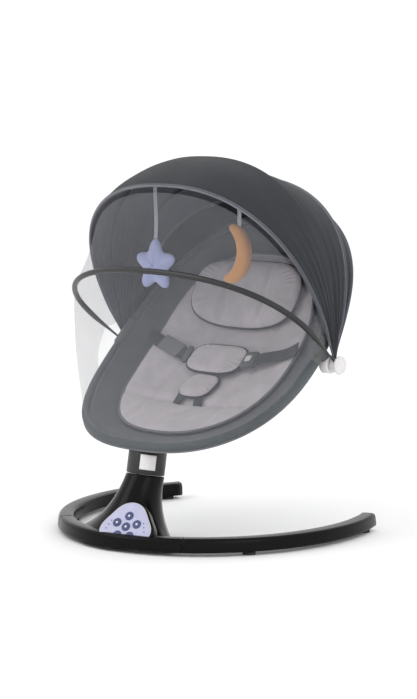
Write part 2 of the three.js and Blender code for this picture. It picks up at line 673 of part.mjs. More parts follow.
// ---------- hubs ----------
const layerX = (index) => PIVOT_FIRST_X + index * (EYE_THICKNESS + GAP * 2);
const KNOB_X = layerX(4);
for (const [side, name] of [[1, 'left'], [-1, 'right']]) {
  const [ringU, ringX] = ringOutline(HUB_TURN, 0);
  const ring = seatPoint(ringU, ringX);
  const barrel = cylinderX(side * HUB_INNER_X, side * (PIVOT_FIRST_X - GAP * 2), HUB_Y, HUB_Z, HUB_RADIUS, 20);
  const [uLow] = ringOutline(HUB_TURN + HUB_BLOCK_HALF, 0);
  const [uHigh] = ringOutline(HUB_TURN - HUB_BLOCK_HALF, 0);
  const low = seatPoint(uLow, side * ringX);
  const high = seatPoint(uHigh, side * ringX);
  const clamp = cylinderBetween(low, high, TUBE_RADIUS + 3, 20);
  const tubeRoom = tube([-3, -2, -1, 0, 1, 2, 3].map((k) => {
    const [u, x] = ringOutline(HUB_TURN + k * HUB_BLOCK_HALF * 0.6, 0);
    return seatPoint(u, side * x);
  }), TUBE_RADIUS + GAP * 3, 12, 12);
  const arm = cylinderBetween(
    at(side * (HUB_INNER_X + 5), HUB_Y, HUB_Z), at(side * ringX, ring.y, ring.z), 7, 16);
  const pin = cylinderX(side * (HUB_INNER_X + 2), side * (KNOB_X - GAP), HUB_Y, HUB_Z, PIN_RADIUS, 20);
  add(`${name}_hub`, meshed(solid(barrel).add(solid(clamp)).add(solid(arm)).add(solid(pin))
    .subtract(solid(tubeRoom))), WHITE);
  const knob = cylinderX(side * KNOB_X, side * (KNOB_X + KNOB_LENGTH), HUB_Y, HUB_Z, HUB_RADIUS, 20);
  add(`${name}_knob`, outward(knob), WHITE);
}

// ---------- hood and net ----------
// A point of an arch that pivots on the hub axis: turn 0 is the arch's top, and the radius
// from the hub axis comes second.
function archFlat(turn, reach, halfWidth) {
  const x = halfWidth * power(Math.sin(turn), 2 / BOW_POWER);
  const r = BOW_CORE + (reach - BOW_CORE) * power(Math.cos(turn), 2 / BOW_POWER);
  return [x, r];
}
const aroundHub = (x, r, angle) => at(x, HUB_Y - r * Math.cos(angle), HUB_Z + r * Math.sin(angle));

function turnAt(reach, radius) {
  const side = (radius - BOW_CORE) / (reach - BOW_CORE);
  return Math.acos(power(side, BOW_POWER / 2));
}

// Near its hub a rod is flattened to its eye's thickness, so that the rods can pass.
const FLAT_RADIUS = 66;
const BEND_START = 68;
const BEND_END = 90;
function bow(reach, halfWidth, angle, radius, layer, steps) {
  const eyeX = layerX(layer) + EYE_THICKNESS / 2;
  const end = turnAt(reach, BEND_END);
  const flat = [[-eyeX, 5], [-eyeX, 14], [-eyeX, 30], [-eyeX, 50], [-eyeX, BEND_START]];
  for (let i = 0; i <= steps; i += 1) flat.push(archFlat(mix(-end, end, i / steps), reach, halfWidth));
  flat.push([eyeX, BEND_START], [eyeX, 50], [eyeX, 30], [eyeX, 14], [eyeX, 5]);
  const rod = solid(tube(flat.map(([x, r]) => aroundHub(x, r, angle)), radius, steps + 12, 6));
  const slice = (side) => {
    const near = side * layerX(layer);
    const far = side * (layerX(layer) + EYE_THICKNESS);
    const wide = side * 500;
    const disc = solid(cylinderX(near, far, HUB_Y, HUB_Z, EYE_RADIUS, 16));
    const hole = solid(cylinderX(side * 100, wide, HUB_Y, HUB_Z, PIN_RADIUS + GAP, 20));
    const roomIn = solid(cylinderX(side * 100, near, HUB_Y, HUB_Z, FLAT_RADIUS, 24));
    const roomOut = solid(cylinderX(far, wide, HUB_Y, HUB_Z, FLAT_RADIUS, 24));
    return { disc, hole, roomIn, roomOut };
  };
  return meshed([slice(1), slice(-1)].reduce((body, part) => body
    .subtract(part.roomIn).subtract(part.roomOut).add(part.disc).subtract(part.hole), rod));
}

function hoodPanel([reachStart, reachEnd], wide, start, end) {
  return sheetSolid((t, q, outer) => {
    const side = outer ? CLOTH / 2 : -CLOTH / 2;
    const reach = mix(reachStart, reachEnd, (q + 1) / 2);
    const last = turnAt(reach, HOOD_CLEAR);
    const [x, r] = archFlat(mix(-last, last, t), reach + side, wide + side);
    return aroundHub(x, r, mix(start, end, (q + 1) / 2));
  }, 24, 4);
}
// Each panel starts or ends beside its own bow; eye layers count outwards from the seat.
const BOW_EDGE = (BOW_RADIUS + 2 * GAP) / HOOD_CLEAR;
const middleWide = HOOD_HALF_WIDTH - HOOD_NEST;
const rearWide = middleWide - HOOD_NEST;
add('hood_front_panel', hoodPanel(FRONT_REACH, HOOD_HALF_WIDTH, FRONT_START + BOW_EDGE, FRONT_END), HOOD_CLOTH);
add('hood_middle_panel', hoodPanel(MIDDLE_REACH, middleWide, MIDDLE_START, MIDDLE_END - BOW_EDGE), HOOD_CLOTH);
add('hood_rear_panel', hoodPanel(REAR_REACH, rearWide, REAR_START, REAR_END - BOW_EDGE), HOOD_CLOTH);
add('hood_front_bow', bow(FRONT_REACH[0], HOOD_HALF_WIDTH, FRONT_START, BOW_RADIUS, 2, 16), SATIN);
add('hood_middle_bow', bow(MIDDLE_REACH[1], middleWide, MIDDLE_END, BOW_RADIUS, 1, 16), SATIN);
add('hood_rear_bow', bow(REAR_REACH[1], rearWide, REAR_END, BOW_RADIUS, 0, 16), SATIN);
add('net_hoop', bow(HOOP_REACH, HOOP_HALF_WIDTH, HOOP_ANGLE, HOOP_RADIUS, 3, 18), SATIN);

// The net's two sheets. The upper one runs from the hood's front edge to the hoop and the
// lower one from the hoop to the ring.
const NET_GAP = 1.5;
const NET_END = 70;              // the net's corners stop this far from the hub axis
function archAt(reach, halfWidth, angle, s) {
  const end = turnAt(reach, NET_END);
  const [x, r] = archFlat(mix(-end, end, s), reach, halfWidth);
  return aroundHub(x, r, angle);
}
function netSheet(edgeA, edgeB) {
  return sheetSolid((t, q, outer) => {
    const a = edgeA(mix(0.02, 0.98, t), outer);
    const b = edgeB(mix(0.02, 0.98, t), outer);
    return a.lerp(b, (q + 1) / 2);
  }, 20, 3);
}
const netSkin = (outer) => (outer ? 0.5 : -0.5);
const HOOD_EDGE_ANGLE = FRONT_START - (BOW_RADIUS + 1) / NET_END;
const hoodEdge = (s, outer) => archAt(
  FRONT_REACH[0] - 12 + netSkin(outer), HOOD_HALF_WIDTH - 12 + netSkin(outer), HOOD_EDGE_ANGLE, s);
const HOOP_TOP_ANGLE = HOOP_ANGLE + (HOOP_RADIUS + 1) / NET_END;
const hoopTop = (s, outer) => archAt(
  HOOP_REACH + netSkin(outer), HOOP_HALF_WIDTH + netSkin(outer), HOOP_TOP_ANGLE, s);
const hoopUnder = (s, outer) => archAt(
  HOOP_REACH + netSkin(outer), HOOP_HALF_WIDTH + netSkin(outer), HOOP_ANGLE - (HOOP_RADIUS + 1) / NET_END, s);
const NET_RING_FROM = 104 * DEG;
const ringEdge = (s, outer) => {
  const [u, x] = ringOutline(mix(-NET_RING_FROM, NET_RING_FROM - 2 * Math.PI, s), -netSkin(outer));
  return seatPoint(u, x, TUBE_RADIUS + NET_GAP);
};
add('upper_net', netSheet(hoodEdge, hoopTop), NET);
add('lower_net', netSheet(hoopUnder, ringEdge), NET);

// The hood's back skirt runs from the rear bow down to the ring's outer side.
const SKIRT_TURN = 74 * DEG;
const SKIRT_THICKNESS = 1.2;
const SKIRT_ANGLE = REAR_END + (BOW_RADIUS + 1.5) / NET_END;
const skirtTop = (s) => archAt(REAR_REACH[1], rearWide, SKIRT_ANGLE, s);
const skirtFoot = (s) => {
  const [u, x] = ringOutline(mix(-SKIRT_TURN, SKIRT_TURN, s), -TUBE_RADIUS - NET_GAP);
  return seatPoint(u, x);
};
const skirtMiddle = (s, down) => skirtTop(s).lerp(skirtFoot(s), down);
function skirtNormal(s, down) {
  const along = skirtMiddle(s + 0.005, down).sub(skirtMiddle(s - 0.005, down));
  const downward = skirtFoot(s).sub(skirtTop(s));
  return along.cross(downward).normalize();
}
add('hood_back_skirt', sheetSolid((t, q, outer) => {
  const s = mix(0.02, 0.98, t);
  const down = (q + 1) / 2;
  const lift = (outer ? 0.5 : -0.5) * SKIRT_THICKNESS;
  return skirtMiddle(s, down).addScaledVector(skirtNormal(s, down), lift);
}, 20, 3), HOOD_CLOTH);

// ---------- toys ----------
const TOY_THICKNESS = 20;
const TOY_BEVEL = 5;
function plush(shape) {
  const geometry = new THREE.ExtrudeGeometry(shape, {
    depth: TOY_THICKNESS - 2 * TOY_BEVEL, curveSegments: 8,
    bevelEnabled: true, bevelSize: TOY_BEVEL, bevelThickness: TOY_BEVEL, bevelSegments: 2,
  });
  geometry.translate(0, 0, -(TOY_THICKNESS - 2 * TOY_BEVEL) / 2);
  return outward(geometry.rotateX(Math.PI / 2));
}

function starShape(radius) {
  const points = [];
  for (let i = 0; i < 10; i += 1) {
    const turn = Math.PI / 2 + Math.PI * i / 5;
    const r = i % 2 ? radius * 0.56 : radius;
    points.push([r * Math.cos(turn), r * Math.sin(turn)]);
  }
  return outline(points);
}

const MOON_BITE = 0.7;
function moonShape(size) {
  const half = Math.acos(0.32);
  const shape = new THREE.Shape();
  shape.absarc(0, 0, size, -half, half, false);
  const tip = size * Math.sin(half);
  const biteX = -size * MOON_BITE * 0.4;
  const near = size * Math.cos(half);
  const bite = Math.hypot(tip, near - biteX);
  const turn = Math.atan2(tip, near - biteX);
  shape.absarc(biteX, 0, bite, turn, -turn, true);
  shape.closePath();
  return shape;
}

// The middle panel's lining height at a place near its front edge, where a ribbon is sewn on.
function liningZ(x, y) {
  const wide = middleWide - CLOTH;
  const reach = MIDDLE_REACH[0] - CLOTH;
  const turn = Math.asin(power(Math.abs(x) / wide, BOW_POWER / 2));
  const [, r] = archFlat(turn, reach, wide);
  return HUB_Z + Math.sqrt(r * r - (y - HUB_Y) ** 2);
}

const RIBBON_THICKNESS = 1;
const RIBBON_CLEAR = 1.5;
const TIP_CLEAR = 2 * TOY_BEVEL;
for (const [name, x, tip] of [
  ['star', STAR_X, STAR_Z + STAR_SIZE + TIP_CLEAR], ['moon', MOON_X, MOON_Z + MOON_SIZE + TIP_CLEAR]]) {
  const top = liningZ(x, TOY_Y) - CLOTH - RIBBON_CLEAR;
  const bottom = tip + GAP;
  const ribbon = new THREE.BoxGeometry(RIBBON_WIDTH, RIBBON_THICKNESS, top - bottom);
  add(`${name}_ribbon`, outward(ribbon.translate(x, TOY_Y, (top + bottom) / 2)), NET);
}
add('star_toy', plush(starShape(STAR_SIZE)).translate(STAR_X, TOY_Y, STAR_Z), STAR_CLOTH);
const crescent = plush(moonShape(MOON_SIZE)).translate(-MOON_SIZE * 0.62, 0, 0).rotateY(8 * DEG);
add('moon_toy', crescent.translate(MOON_X, TOY_Y, MOON_Z), MOON_CLOTH);
export default swing;
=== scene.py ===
"""Looks of an electric baby swing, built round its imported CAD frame.

Metres, +Z up, the baby faces -Y and the baby's left is +X. Surfaces are functions of two
parameters on a grid, or a section carried along a path.
"""

import math

import bpy
import numpy as np
from bpy.props import FloatProperty, FloatVectorProperty, PointerProperty
from bpy.types import Operator, Panel, PropertyGroup
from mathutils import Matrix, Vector


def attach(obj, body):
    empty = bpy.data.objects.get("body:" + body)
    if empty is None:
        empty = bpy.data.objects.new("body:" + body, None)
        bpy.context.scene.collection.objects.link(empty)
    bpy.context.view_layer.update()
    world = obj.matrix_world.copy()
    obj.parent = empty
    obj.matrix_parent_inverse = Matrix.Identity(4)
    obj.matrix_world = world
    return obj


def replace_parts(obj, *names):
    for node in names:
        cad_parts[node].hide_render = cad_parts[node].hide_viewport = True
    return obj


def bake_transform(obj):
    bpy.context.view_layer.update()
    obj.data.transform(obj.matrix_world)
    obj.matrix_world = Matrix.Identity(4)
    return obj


bl_info = {
    "name": "Baby Swing Looks",
    "version": (1, 0, 0),
    "blender": (4, 5, 0),
    "location": "View3D > Sidebar > Baby Swing",
    "description": "Builds the visible surfaces and finishes of an electric baby swing",
    "category": "Object",
}

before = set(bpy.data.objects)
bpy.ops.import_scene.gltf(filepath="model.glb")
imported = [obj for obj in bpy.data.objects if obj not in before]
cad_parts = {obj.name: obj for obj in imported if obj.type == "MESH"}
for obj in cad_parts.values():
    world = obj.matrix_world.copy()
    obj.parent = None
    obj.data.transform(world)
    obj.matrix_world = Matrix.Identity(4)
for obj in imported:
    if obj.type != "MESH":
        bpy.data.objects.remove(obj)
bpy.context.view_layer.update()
DEG = math.pi / 180
TURN = 2 * math.pi


# ---------------------------------------------------------------- properties

def length(name, description, default):
    """A length property, in metres."""
    return FloatProperty(name=name, description=description, default=default, unit="LENGTH",
                         precision=4)


def angle(name, description, degrees):
    """An angle property, given in degrees."""
    return FloatProperty(name=name, description=description, default=degrees * DEG,
                         subtype="ANGLE")


def colour(name, description, default):
    """A linear colour property."""
    return FloatVectorProperty(name=name, description=description, default=default, size=3,
                               subtype="COLOR", min=0, max=1)


class SwingSizes(PropertyGroup):
    """Sizes of the swing."""

    base_half_width: length("Base half width", "Outer edge of the base, side to side", 0.271)
    base_half_length: length("Base half length", "Outer edge, front to back", 0.312)
    base_front: length("Base front", "Y of the base's front edge", -0.085)
    base_sweep: angle("Base sweep", "How far each leg runs round from the front", 117)
    leg_width: length("Leg width", "Width of the base tube", 0.033)
    leg_height: length("Leg height", "Height of the base tube", 0.025)
    foot_height: length("Foot height", "Height of the rubber feet", 0.005)
    neck_tilt: angle("Neck tilt", "The drive axis leans back by this much", 10)
    neck_y: length("Neck Y", "Drive axis at the top of the column", 0.032)
    neck_z: length("Neck Z", "Height of the top of the column", 0.114)
    neck_radius: length("Neck radius", "Radius of the turning neck", 0.033)
    neck_length: length("Neck length", "Length of the turning neck", 0.039)
    ring_half_width: length("Seat ring half width", "To the tube's centre line", 0.230)
    ring_front: length("Seat ring front", "Widest place to the foot end", 0.249)
    ring_back: length("Seat ring back", "Widest place to the head end", 0.277)
    ring_y: length("Seat ring Y", "Y of the ring's widest place", 0.208)
    ring_z: length("Seat ring Z", "Height of the ring's widest place", 0.316)
    tilt_front: angle("Foot end tilt", "Slope of the ring at the feet", 28)
    tilt_back: angle("Head end tilt", "Slope of the ring at the head", 65)
    shell_depth: length("Seat depth", "How far the fabric seat hangs", 0.058)
    hub_y: length("Hub Y", "Y of the hood's pivot", 0.242)
    hub_z: length("Hub Z", "Height of the hood's pivot", 0.304)
    hood_half_width: length("Hood half width", "Half width of the front panel", 0.256)
    hood_nest: length("Hood nesting", "Each panel is narrower by this much", 0.0063)
    hoop_reach: length("Net hoop reach", "Hub axis to the top of the hoop", 0.267)
    hoop_half_width: length("Net hoop half width", "Half width of the hoop", 0.260)
    hoop_angle: angle("Net hoop angle", "The hoop's angle above level", 36.6)
    hoop_radius: length("Net hoop radius", "Radius of the hoop's tube", 0.005)


class SwingColours(PropertyGroup):
    """Colours of the swing."""

    gloss_black: colour("Gloss black", "Base and column", (0.0022, 0.0022, 0.0026))
    satin_black: colour("Satin black", "Neck, hoop and small parts", (0.012, 0.012, 0.013))
    panel_lilac: colour("Panel", "Control panel", (0.42, 0.42, 0.58))
    navy: colour("Buttons", "Control buttons", (0.030, 0.042, 0.135))
    hood_cloth: colour("Hood cloth", "Outer hood fabric", (0.088, 0.092, 0.112))
    lining: colour("Lining", "Hood lining", (0.032, 0.035, 0.040))
    seat_cloth: colour("Seat cloth", "Outer seat fabric", (0.088, 0.098, 0.104))
    pad_cloth: colour("Pad", "Padding", (0.56, 0.52, 0.55))
    webbing: colour("Webbing", "Straps", (0.050, 0.055, 0.055))
    star: colour("Star", "Star toy", (0.40, 0.44, 0.72))
    moon: colour("Moon", "Moon toy", (0.66, 0.30, 0.09))
    net: colour("Net", "Insect net", (0.26, 0.265, 0.29))
    white: colour("White", "Hubs and labels", (0.72, 0.70, 0.71))


def sizes():
    return bpy.context.scene.baby_swing_sizes


def colours():
    return bpy.context.scene.baby_swing_colours


# ---------------------------------------------------------------- meshes

def mix(a, b, t):
    return a + (b - a) * t


def signed_power(value, exponent):
    return np.sign(value) * np.abs(value) ** exponent


def smooth(low, high, value):
    """0 below low, 1 above high, and the cubic 3t^2 - 2t^3 between."""
    t = np.clip((value - low) / (high - low), 0, 1)
    return t * t * (3 - 2 * t)


def grid(rows, columns, rows_closed=False, columns_closed=False):
    """Parameters from 0 to 1 on a grid. A closed direction leaves out its last line."""
    u = np.linspace(0, 1, rows, endpoint=not rows_closed)
    v = np.linspace(0, 1, columns, endpoint=not columns_closed)
    return np.meshgrid(u, v, indexing="ij")


def surface(name, points, material, rows_closed=False, columns_closed=False, flip=False,
            uv_size=(1.0, 1.0), weld=True):
    """A mesh from a grid of points, with a UV map that runs 0 to uv_size along each direction.

    Each grid cell is one four-sided face; a closed direction joins its last line to its first.
    """
    rows, columns = points.shape[:2]
    cells_r = rows if rows_closed else rows - 1
    cells_c = columns if columns_closed else columns - 1
    i, j = np.meshgrid(np.arange(cells_r), np.arange(cells_c), indexing="ij")
    i, j = i.ravel(), j.ravel()
    corners = [(i, j), (i + 1, j), (i + 1, j + 1), (i, j + 1)]
    if flip:
        corners.reverse()
    faces = np.stack([(a % rows) * columns + (b % columns) for a, b in corners], axis=1)
    mesh = bpy.data.meshes.new(name)
    mesh.from_pydata(points.reshape(-1, 3).tolist(), [], faces.tolist())
    layer = mesh.uv_layers.new(name="cloth")
    uv = np.stack([np.stack([a / cells_r * uv_size[0], b / cells_c * uv_size[1]], axis=1)
                   for a, b in corners], axis=1)
    layer.data.foreach_set("uv", uv.reshape(-1).astype(np.float32))
    if weld:
        weld_points(mesh)
    mesh.polygons.foreach_set("use_smooth", np.ones(len(mesh.polygons), dtype=bool))
    return new_object(name, mesh, material)


def weld_points(mesh):
    """Joins points that lie on each other, as at the poles of a round grid."""
    import bmesh
    work = bmesh.new()
    work.from_mesh(mesh)
    bmesh.ops.remove_doubles(work, verts=work.verts, dist=2e-6)
    bmesh.ops.dissolve_degenerate(work, edges=work.edges, dist=1e-7)
    work.to_mesh(mesh)
    work.free()
    mesh.update()


def new_object(name, mesh, material):
    materials = material if isinstance(material, (list, tuple)) else [material]
    for one in materials:
        mesh.materials.append(one)
    made = bpy.data.objects.new(name, mesh)
    bpy.context.scene.collection.objects.link(made)
    return made


def joined(name, pieces):
    """One object from several, keeping their materials."""
    bpy.ops.object.select_all(action="DESELECT")
    for piece in pieces:
        piece.select_set(True)
    bpy.context.view_layer.objects.active = pieces[0]
    bpy.ops.object.join()
    pieces[0].name = name
    return pieces[0]


def thick(piece, thickness, offset=0.0, inner=0):
    """Gives a sheet its thickness; inner is the material step of its inner side."""
    wall = piece.modifiers.new("wall", "SOLIDIFY")
    wall.thickness = thickness
    wall.offset = offset
    wall.use_even_offset = True
    wall.material_offset = inner
    return piece


def path_frames(path, reference, closed=False):
    """Tangent, side and up along a path; up is the reference made square to the tangent."""
    if closed:
        tangent = np.roll(path, -1, axis=0) - np.roll(path, 1, axis=0)
    else:
        tangent = np.gradient(path, axis=0)
    tangent /= np.linalg.norm(tangent, axis=1, keepdims=True)
    up = reference - tangent * np.sum(reference * tangent, axis=1, keepdims=True)
    up /= np.linalg.norm(up, axis=1, keepdims=True)
    side = np.cross(tangent, up)
    return tangent, side, up


def section_points(count, half_side, half_up, squareness=2.0):
    """A superellipse: side = a*|cos|^(2/n), up = b*|sin|^(2/n), with their signs."""
    turn = np.linspace(0, TURN, count, endpoint=False)
    side = half_side * signed_power(np.cos(turn), 2 / squareness)
    up = half_up * signed_power(np.sin(turn), 2 / squareness)
    return side, up


def sweep(name, path, reference, side, up, material, closed=False, scale=None, uv_size=None,
          flip=False):
    """Carries a closed section along a path: point = path + side*S + up*U, each times scale.

    An open sweep is closed at both ends with a fan to the path.
    """
    path = np.asarray(path, float)
    reference = np.broadcast_to(np.asarray(reference, float), path.shape)
    _, across, upward = path_frames(path, reference, closed)
    scale = np.ones(len(path)) if scale is None else scale
    ring = side[None, :, None] * across[:, None, :] + up[None, :, None] * upward[:, None, :]
    points = path[:, None, :] + ring * scale[:, None, None]
    if not closed:
        first = np.repeat(path[:1, None, :], len(side), axis=1)
        last = np.repeat(path[-1:, None, :], len(side), axis=1)
        points = np.concatenate([first, points, last], axis=0)
    if uv_size is None:
        along = np.sum(np.linalg.norm(np.diff(path, axis=0), axis=1))
        around = np.sum(np.hypot(np.diff(side), np.diff(up)))
        uv_size = (along, around)
    return surface(name, points, material, rows_closed=closed, columns_closed=True,
                   uv_size=uv_size, flip=flip)


def tube(name, path, reference, radius, material, closed=False, sides=20, scale=None):
    side, up = section_points(sides, radius, radius)
    return sweep(name, path, reference, side, up, material, closed, scale)


def turned(name, profile, origin, axis, material, sides=64):
    """A profile of (distance along the axis, radius) turned all round the axis."""
    axis = np.asarray(axis, float)
    axis = axis / np.linalg.norm(axis)
    helper = np.array([1.0, 0, 0]) if abs(axis[0]) < 0.9 else np.array([0, 1.0, 0])
    first = np.cross(axis, helper)
    first /= np.linalg.norm(first)
    second = np.cross(axis, first)
    profile = np.asarray(profile, float)
    turn = np.linspace(0, TURN, sides, endpoint=False)
    spoke = np.cos(turn)[:, None] * first + np.sin(turn)[:, None] * second
    points = (np.asarray(origin, float) + profile[:, None, :1] * axis
              + profile[:, None, 1:] * spoke[None])
    return surface(name, points, material, columns_closed=True, uv_size=(0.1, 0.2))


def plate(name, outline, low, high, edge, place, material, steps=4):
    """A flat solid with rounded edges: the outline shrinks by edge*(1 - sin) near both faces.

    outline is (n, 2) points round the middle, place a 4x4 that carries it to the row frame.
    """
    quarter = np.linspace(0, math.pi / 2, steps)
    inset = np.concatenate([[1e9], edge * (1 - np.sin(quarter)), edge * (1 - np.cos(quarter)),
                            [1e9]])
    height = np.concatenate([[low], low + edge * (1 - np.cos(quarter)),
                             high - edge * (1 - np.sin(quarter)), [high]])
    reach = np.linalg.norm(outline, axis=1)
    factor = np.clip(1 - inset[:, None] / reach[None], 0, 1)
    flat = outline[None] * factor[..., None]
    local = np.concatenate([flat, np.broadcast_to(height[:, None, None], flat.shape[:2] + (1,))],
                           axis=2)
    points = local @ place[:3, :3].T + place[:3, 3]
    return surface(name, points, material, columns_closed=True, flip=False, uv_size=(0.1, 0.2))


def turn_x(degrees):
    c, s = math.cos(degrees * DEG), math.sin(degrees * DEG)
    return np.array([[1, 0, 0, 0], [0, c, -s, 0], [0, s, c, 0], [0, 0, 0, 1.0]])


def turn_z(degrees):
    c, s = math.cos(degrees * DEG), math.sin(degrees * DEG)
    return np.array([[c, -s, 0, 0], [s, c, 0, 0], [0, 0, 1, 0], [0, 0, 0, 1.0]])


def moved(x, y, z):
    place = np.eye(4)
    place[:3, 3] = (x, y, z)
    return place


# ---------------------------------------------------------------- materials

def shader(name, base, roughness, metallic=0.0, sheen=0.0, specular=0.5):
    """A new material and its main shader, with uniform values on the shader itself."""
    material = bpy.data.materials.new(name)
    material.use_nodes = True
    main = material.node_tree.nodes["Principled BSDF"]
    main.inputs["Base Color"].default_value = (*base, 1)
    main.inputs["Roughness"].default_value = roughness
    main.inputs["Metallic"].default_value = metallic
    main.inputs["Sheen Weight"].default_value = sheen
    main.inputs["Sheen Roughness"].default_value = 0.5
    main.inputs["Specular IOR Level"].default_value = specular
    return material, main


def node(material, kind, **values):
    made = material.node_tree.nodes.new(kind)
    for key, value in values.items():
        setattr(made, key, value)
    return made


def link(material, source, target):
    material.node_tree.links.new(source, target)


def noise(material, coordinates, scale, detail=4.0, roughness=0.5):
    made = node(material, "ShaderNodeTexNoise")
    made.inputs["Scale"].default_value = scale
    made.inputs["Detail"].default_value = detail
    made.inputs["Roughness"].default_value = roughness
    link(material, coordinates, made.inputs["Vector"])
    return made.outputs["Fac"]


def remap(material, value, low, high, to_low, to_high):
    made = node(material, "ShaderNodeMapRange")
    for key, number in (("From Min", low), ("From Max", high), ("To Min", to_low),
                        ("To Max", to_high)):
        made.inputs[key].default_value = number
    link(material, value, made.inputs["Value"])
    return made.outputs["Result"]


def maths(material, operation, first, second):
    made = node(material, "ShaderNodeMath", operation=operation)
    for slot, value in zip(made.inputs, (first, second)):
        if isinstance(value, (int, float)):
            slot.default_value = value
        else:
            link(material, value, slot)
    return made.outputs["Value"]


def tint(material, factor, dark, light):
    made = node(material, "ShaderNodeMix", data_type="RGBA")
    link(material, factor, made.inputs["Factor"])
    made.inputs[6].default_value = (*dark, 1)
    made.inputs[7].default_value = (*light, 1)
    return made.outputs[2]


def bumped(material, main, height, distance, strength=1.0):
    made = node(material, "ShaderNodeBump")
    made.inputs["Distance"].default_value = distance
    made.inputs["Strength"].default_value = strength
    link(material, height, made.inputs["Height"])
    link(material, made.outputs["Normal"], main.inputs["Normal"])


def object_coordinates(material):
    return node(material, "ShaderNodeTexCoord").outputs["Object"]


def uv_coordinates(material):
    return node(material, "ShaderNodeUVMap", uv_map="cloth").outputs["UV"]


def waves(material, coordinates, scale, direction):
    """Straight bands along one UV direction, from 0 to 1."""
    made = node(material, "ShaderNodeTexWave", wave_type="BANDS", bands_direction=direction,
                wave_profile="SIN")
    made.inputs["Scale"].default_value = scale
    made.inputs["Distortion"].default_value = 0
    link(material, coordinates, made.inputs["Vector"])
    return made.outputs["Fac"]


def shade(base, factor):
    return tuple(min(channel * factor, 1) for channel in base)


def plastic(name, base, roughness, grain=0.00002, specular=0.5):
    """Moulded plastic: a fine orange-peel grain, faint smears in the gloss and dusty patches."""
    material, main = shader(name, base, roughness, specular=specular)
    place = object_coordinates(material)
    smear = noise(material, place, 9, 5, 0.6)
    link(material, remap(material, smear, 0.3, 0.75, roughness * 0.8, roughness * 1.3 + 0.04),
         main.inputs["Roughness"])
    dust = noise(material, place, 60, 6, 0.7)
    link(material, tint(material, remap(material, dust, 0.45, 0.75, 0, 1), base,
                        tuple(c * 1.15 + 0.001 for c in base)), main.inputs["Base Color"])
    bumped(material, main, noise(material, place, 1400, 2), grain, 0.5)
    return material


def metal(name, base, roughness):
    """Ground steel: fine streaks in the gloss."""
    material, main = shader(name, base, roughness, metallic=1.0)
    place = object_coordinates(material)
    streak = noise(material, place, 300, 3)
    link(material, remap(material, streak, 0.3, 0.7, roughness * 0.8, roughness * 1.3),
         main.inputs["Roughness"])
    bumped(material, main, streak, 0.00002, 0.4)
    return material


def woven(name, base, thread=0.0011, heather=0.22, bump=0.00022, sheen=0.25):
    """Woven cloth: crossing threads from two sets of bands, flecked with lighter yarn."""
    material, main = shader(name, base, 0.92, sheen=sheen, specular=0.15)
    flat = uv_coordinates(material)
    scale = 2 * math.pi / thread / TURN / 3.1416
    warp = waves(material, flat, scale, "X")
    weft = waves(material, flat, scale, "Y")
    weave = maths(material, "MAXIMUM", warp, weft)
    place = object_coordinates(material)
    stretch = node(material, "ShaderNodeMapping")
    stretch.inputs["Scale"].default_value = (90, 900, 1)
    link(material, flat, stretch.inputs["Vector"])
    fleck = noise(material, stretch.outputs["Vector"], 1, 3, 0.7)
    soft = noise(material, place, 14, 4)
    light = maths(material, "MULTIPLY", fleck, 0.7)
    both = maths(material, "ADD", light, maths(material, "MULTIPLY", soft, 0.3))
    link(material, tint(material, remap(material, both, 0.35, 0.65, 0, 1),
                        shade(base, 1 - heather), shade(base, 1 + heather * 1.3)),
         main.inputs["Base Color"])
    bumped(material, main, maths(material, "ADD", weave, maths(material, "MULTIPLY", fleck, 0.6)),
           bump, 0.7)
    return material


def plush(name, base, pile=0.0006):
    """Short velvet pile: soft mottling, fine fur bump and a sheen at the edges."""
    material, main = shader(name, base, 0.95, sheen=0.5, specular=0.1)
    place = object_coordinates(material)
    mottle = noise(material, place, 28, 5, 0.6)
    fur = noise(material, place, 900, 3, 0.7)
    link(material, tint(material, remap(material, mottle, 0.3, 0.7, 0, 1), shade(base, 0.88),
                        shade(base, 1.1)), main.inputs["Base Color"])
    bumped(material, main, maths(material, "ADD", fur, maths(material, "MULTIPLY", mottle, 0.8)),
           pile, 0.6)
    return material


def strap_weave(name, base):
    """Webbing: slanting ribs across the tape."""
    material, main = shader(name, base, 0.8, sheen=0.1, specular=0.2)
    flat = uv_coordinates(material)
    slant = node(material, "ShaderNodeMapping")
    slant.inputs["Rotation"].default_value = (0, 0, 30 * DEG)
    link(material, flat, slant.inputs["Vector"])
    ribs = waves(material, slant.outputs["Vector"], 250, "X")
    link(material, tint(material, ribs, shade(base, 0.7), shade(base, 1.35)),
         main.inputs["Base Color"])
    bumped(material, main, ribs, 0.0003, 0.7)
    return material


def gauze(name, base, cover=0.24, cell=0.0016):
    """Insect net: two sets of fine threads with clear holes between them."""
    material, main = shader(name, base, 0.8, sheen=0.2, specular=0.1)
    tree = material.node_tree
    flat = uv_coordinates(material)
    scale = 1 / cell / TURN * 2
    threads = maths(material, "MAXIMUM", waves(material, flat, scale, "X"),
                    waves(material, flat, scale, "Y"))
    cloud = noise(material, object_coordinates(material), 6, 3)
    solid = maths(material, "ADD", remap(material, threads, 0.55, 1.0, cover * 0.6, cover * 1.5),
                  remap(material, cloud, 0.3, 0.7, -0.03, 0.03))
    clear = node(material, "ShaderNodeBsdfTransparent")
    blend = node(material, "ShaderNodeMixShader")
    output = tree.nodes["Material Output"]
    link(material, solid, blend.inputs[0])
    link(material, clear.outputs[0], blend.inputs[1])
    link(material, main.outputs[0], blend.inputs[2])
    link(material, blend.outputs[0], output.inputs["Surface"])
    return material


FINISHES = {}


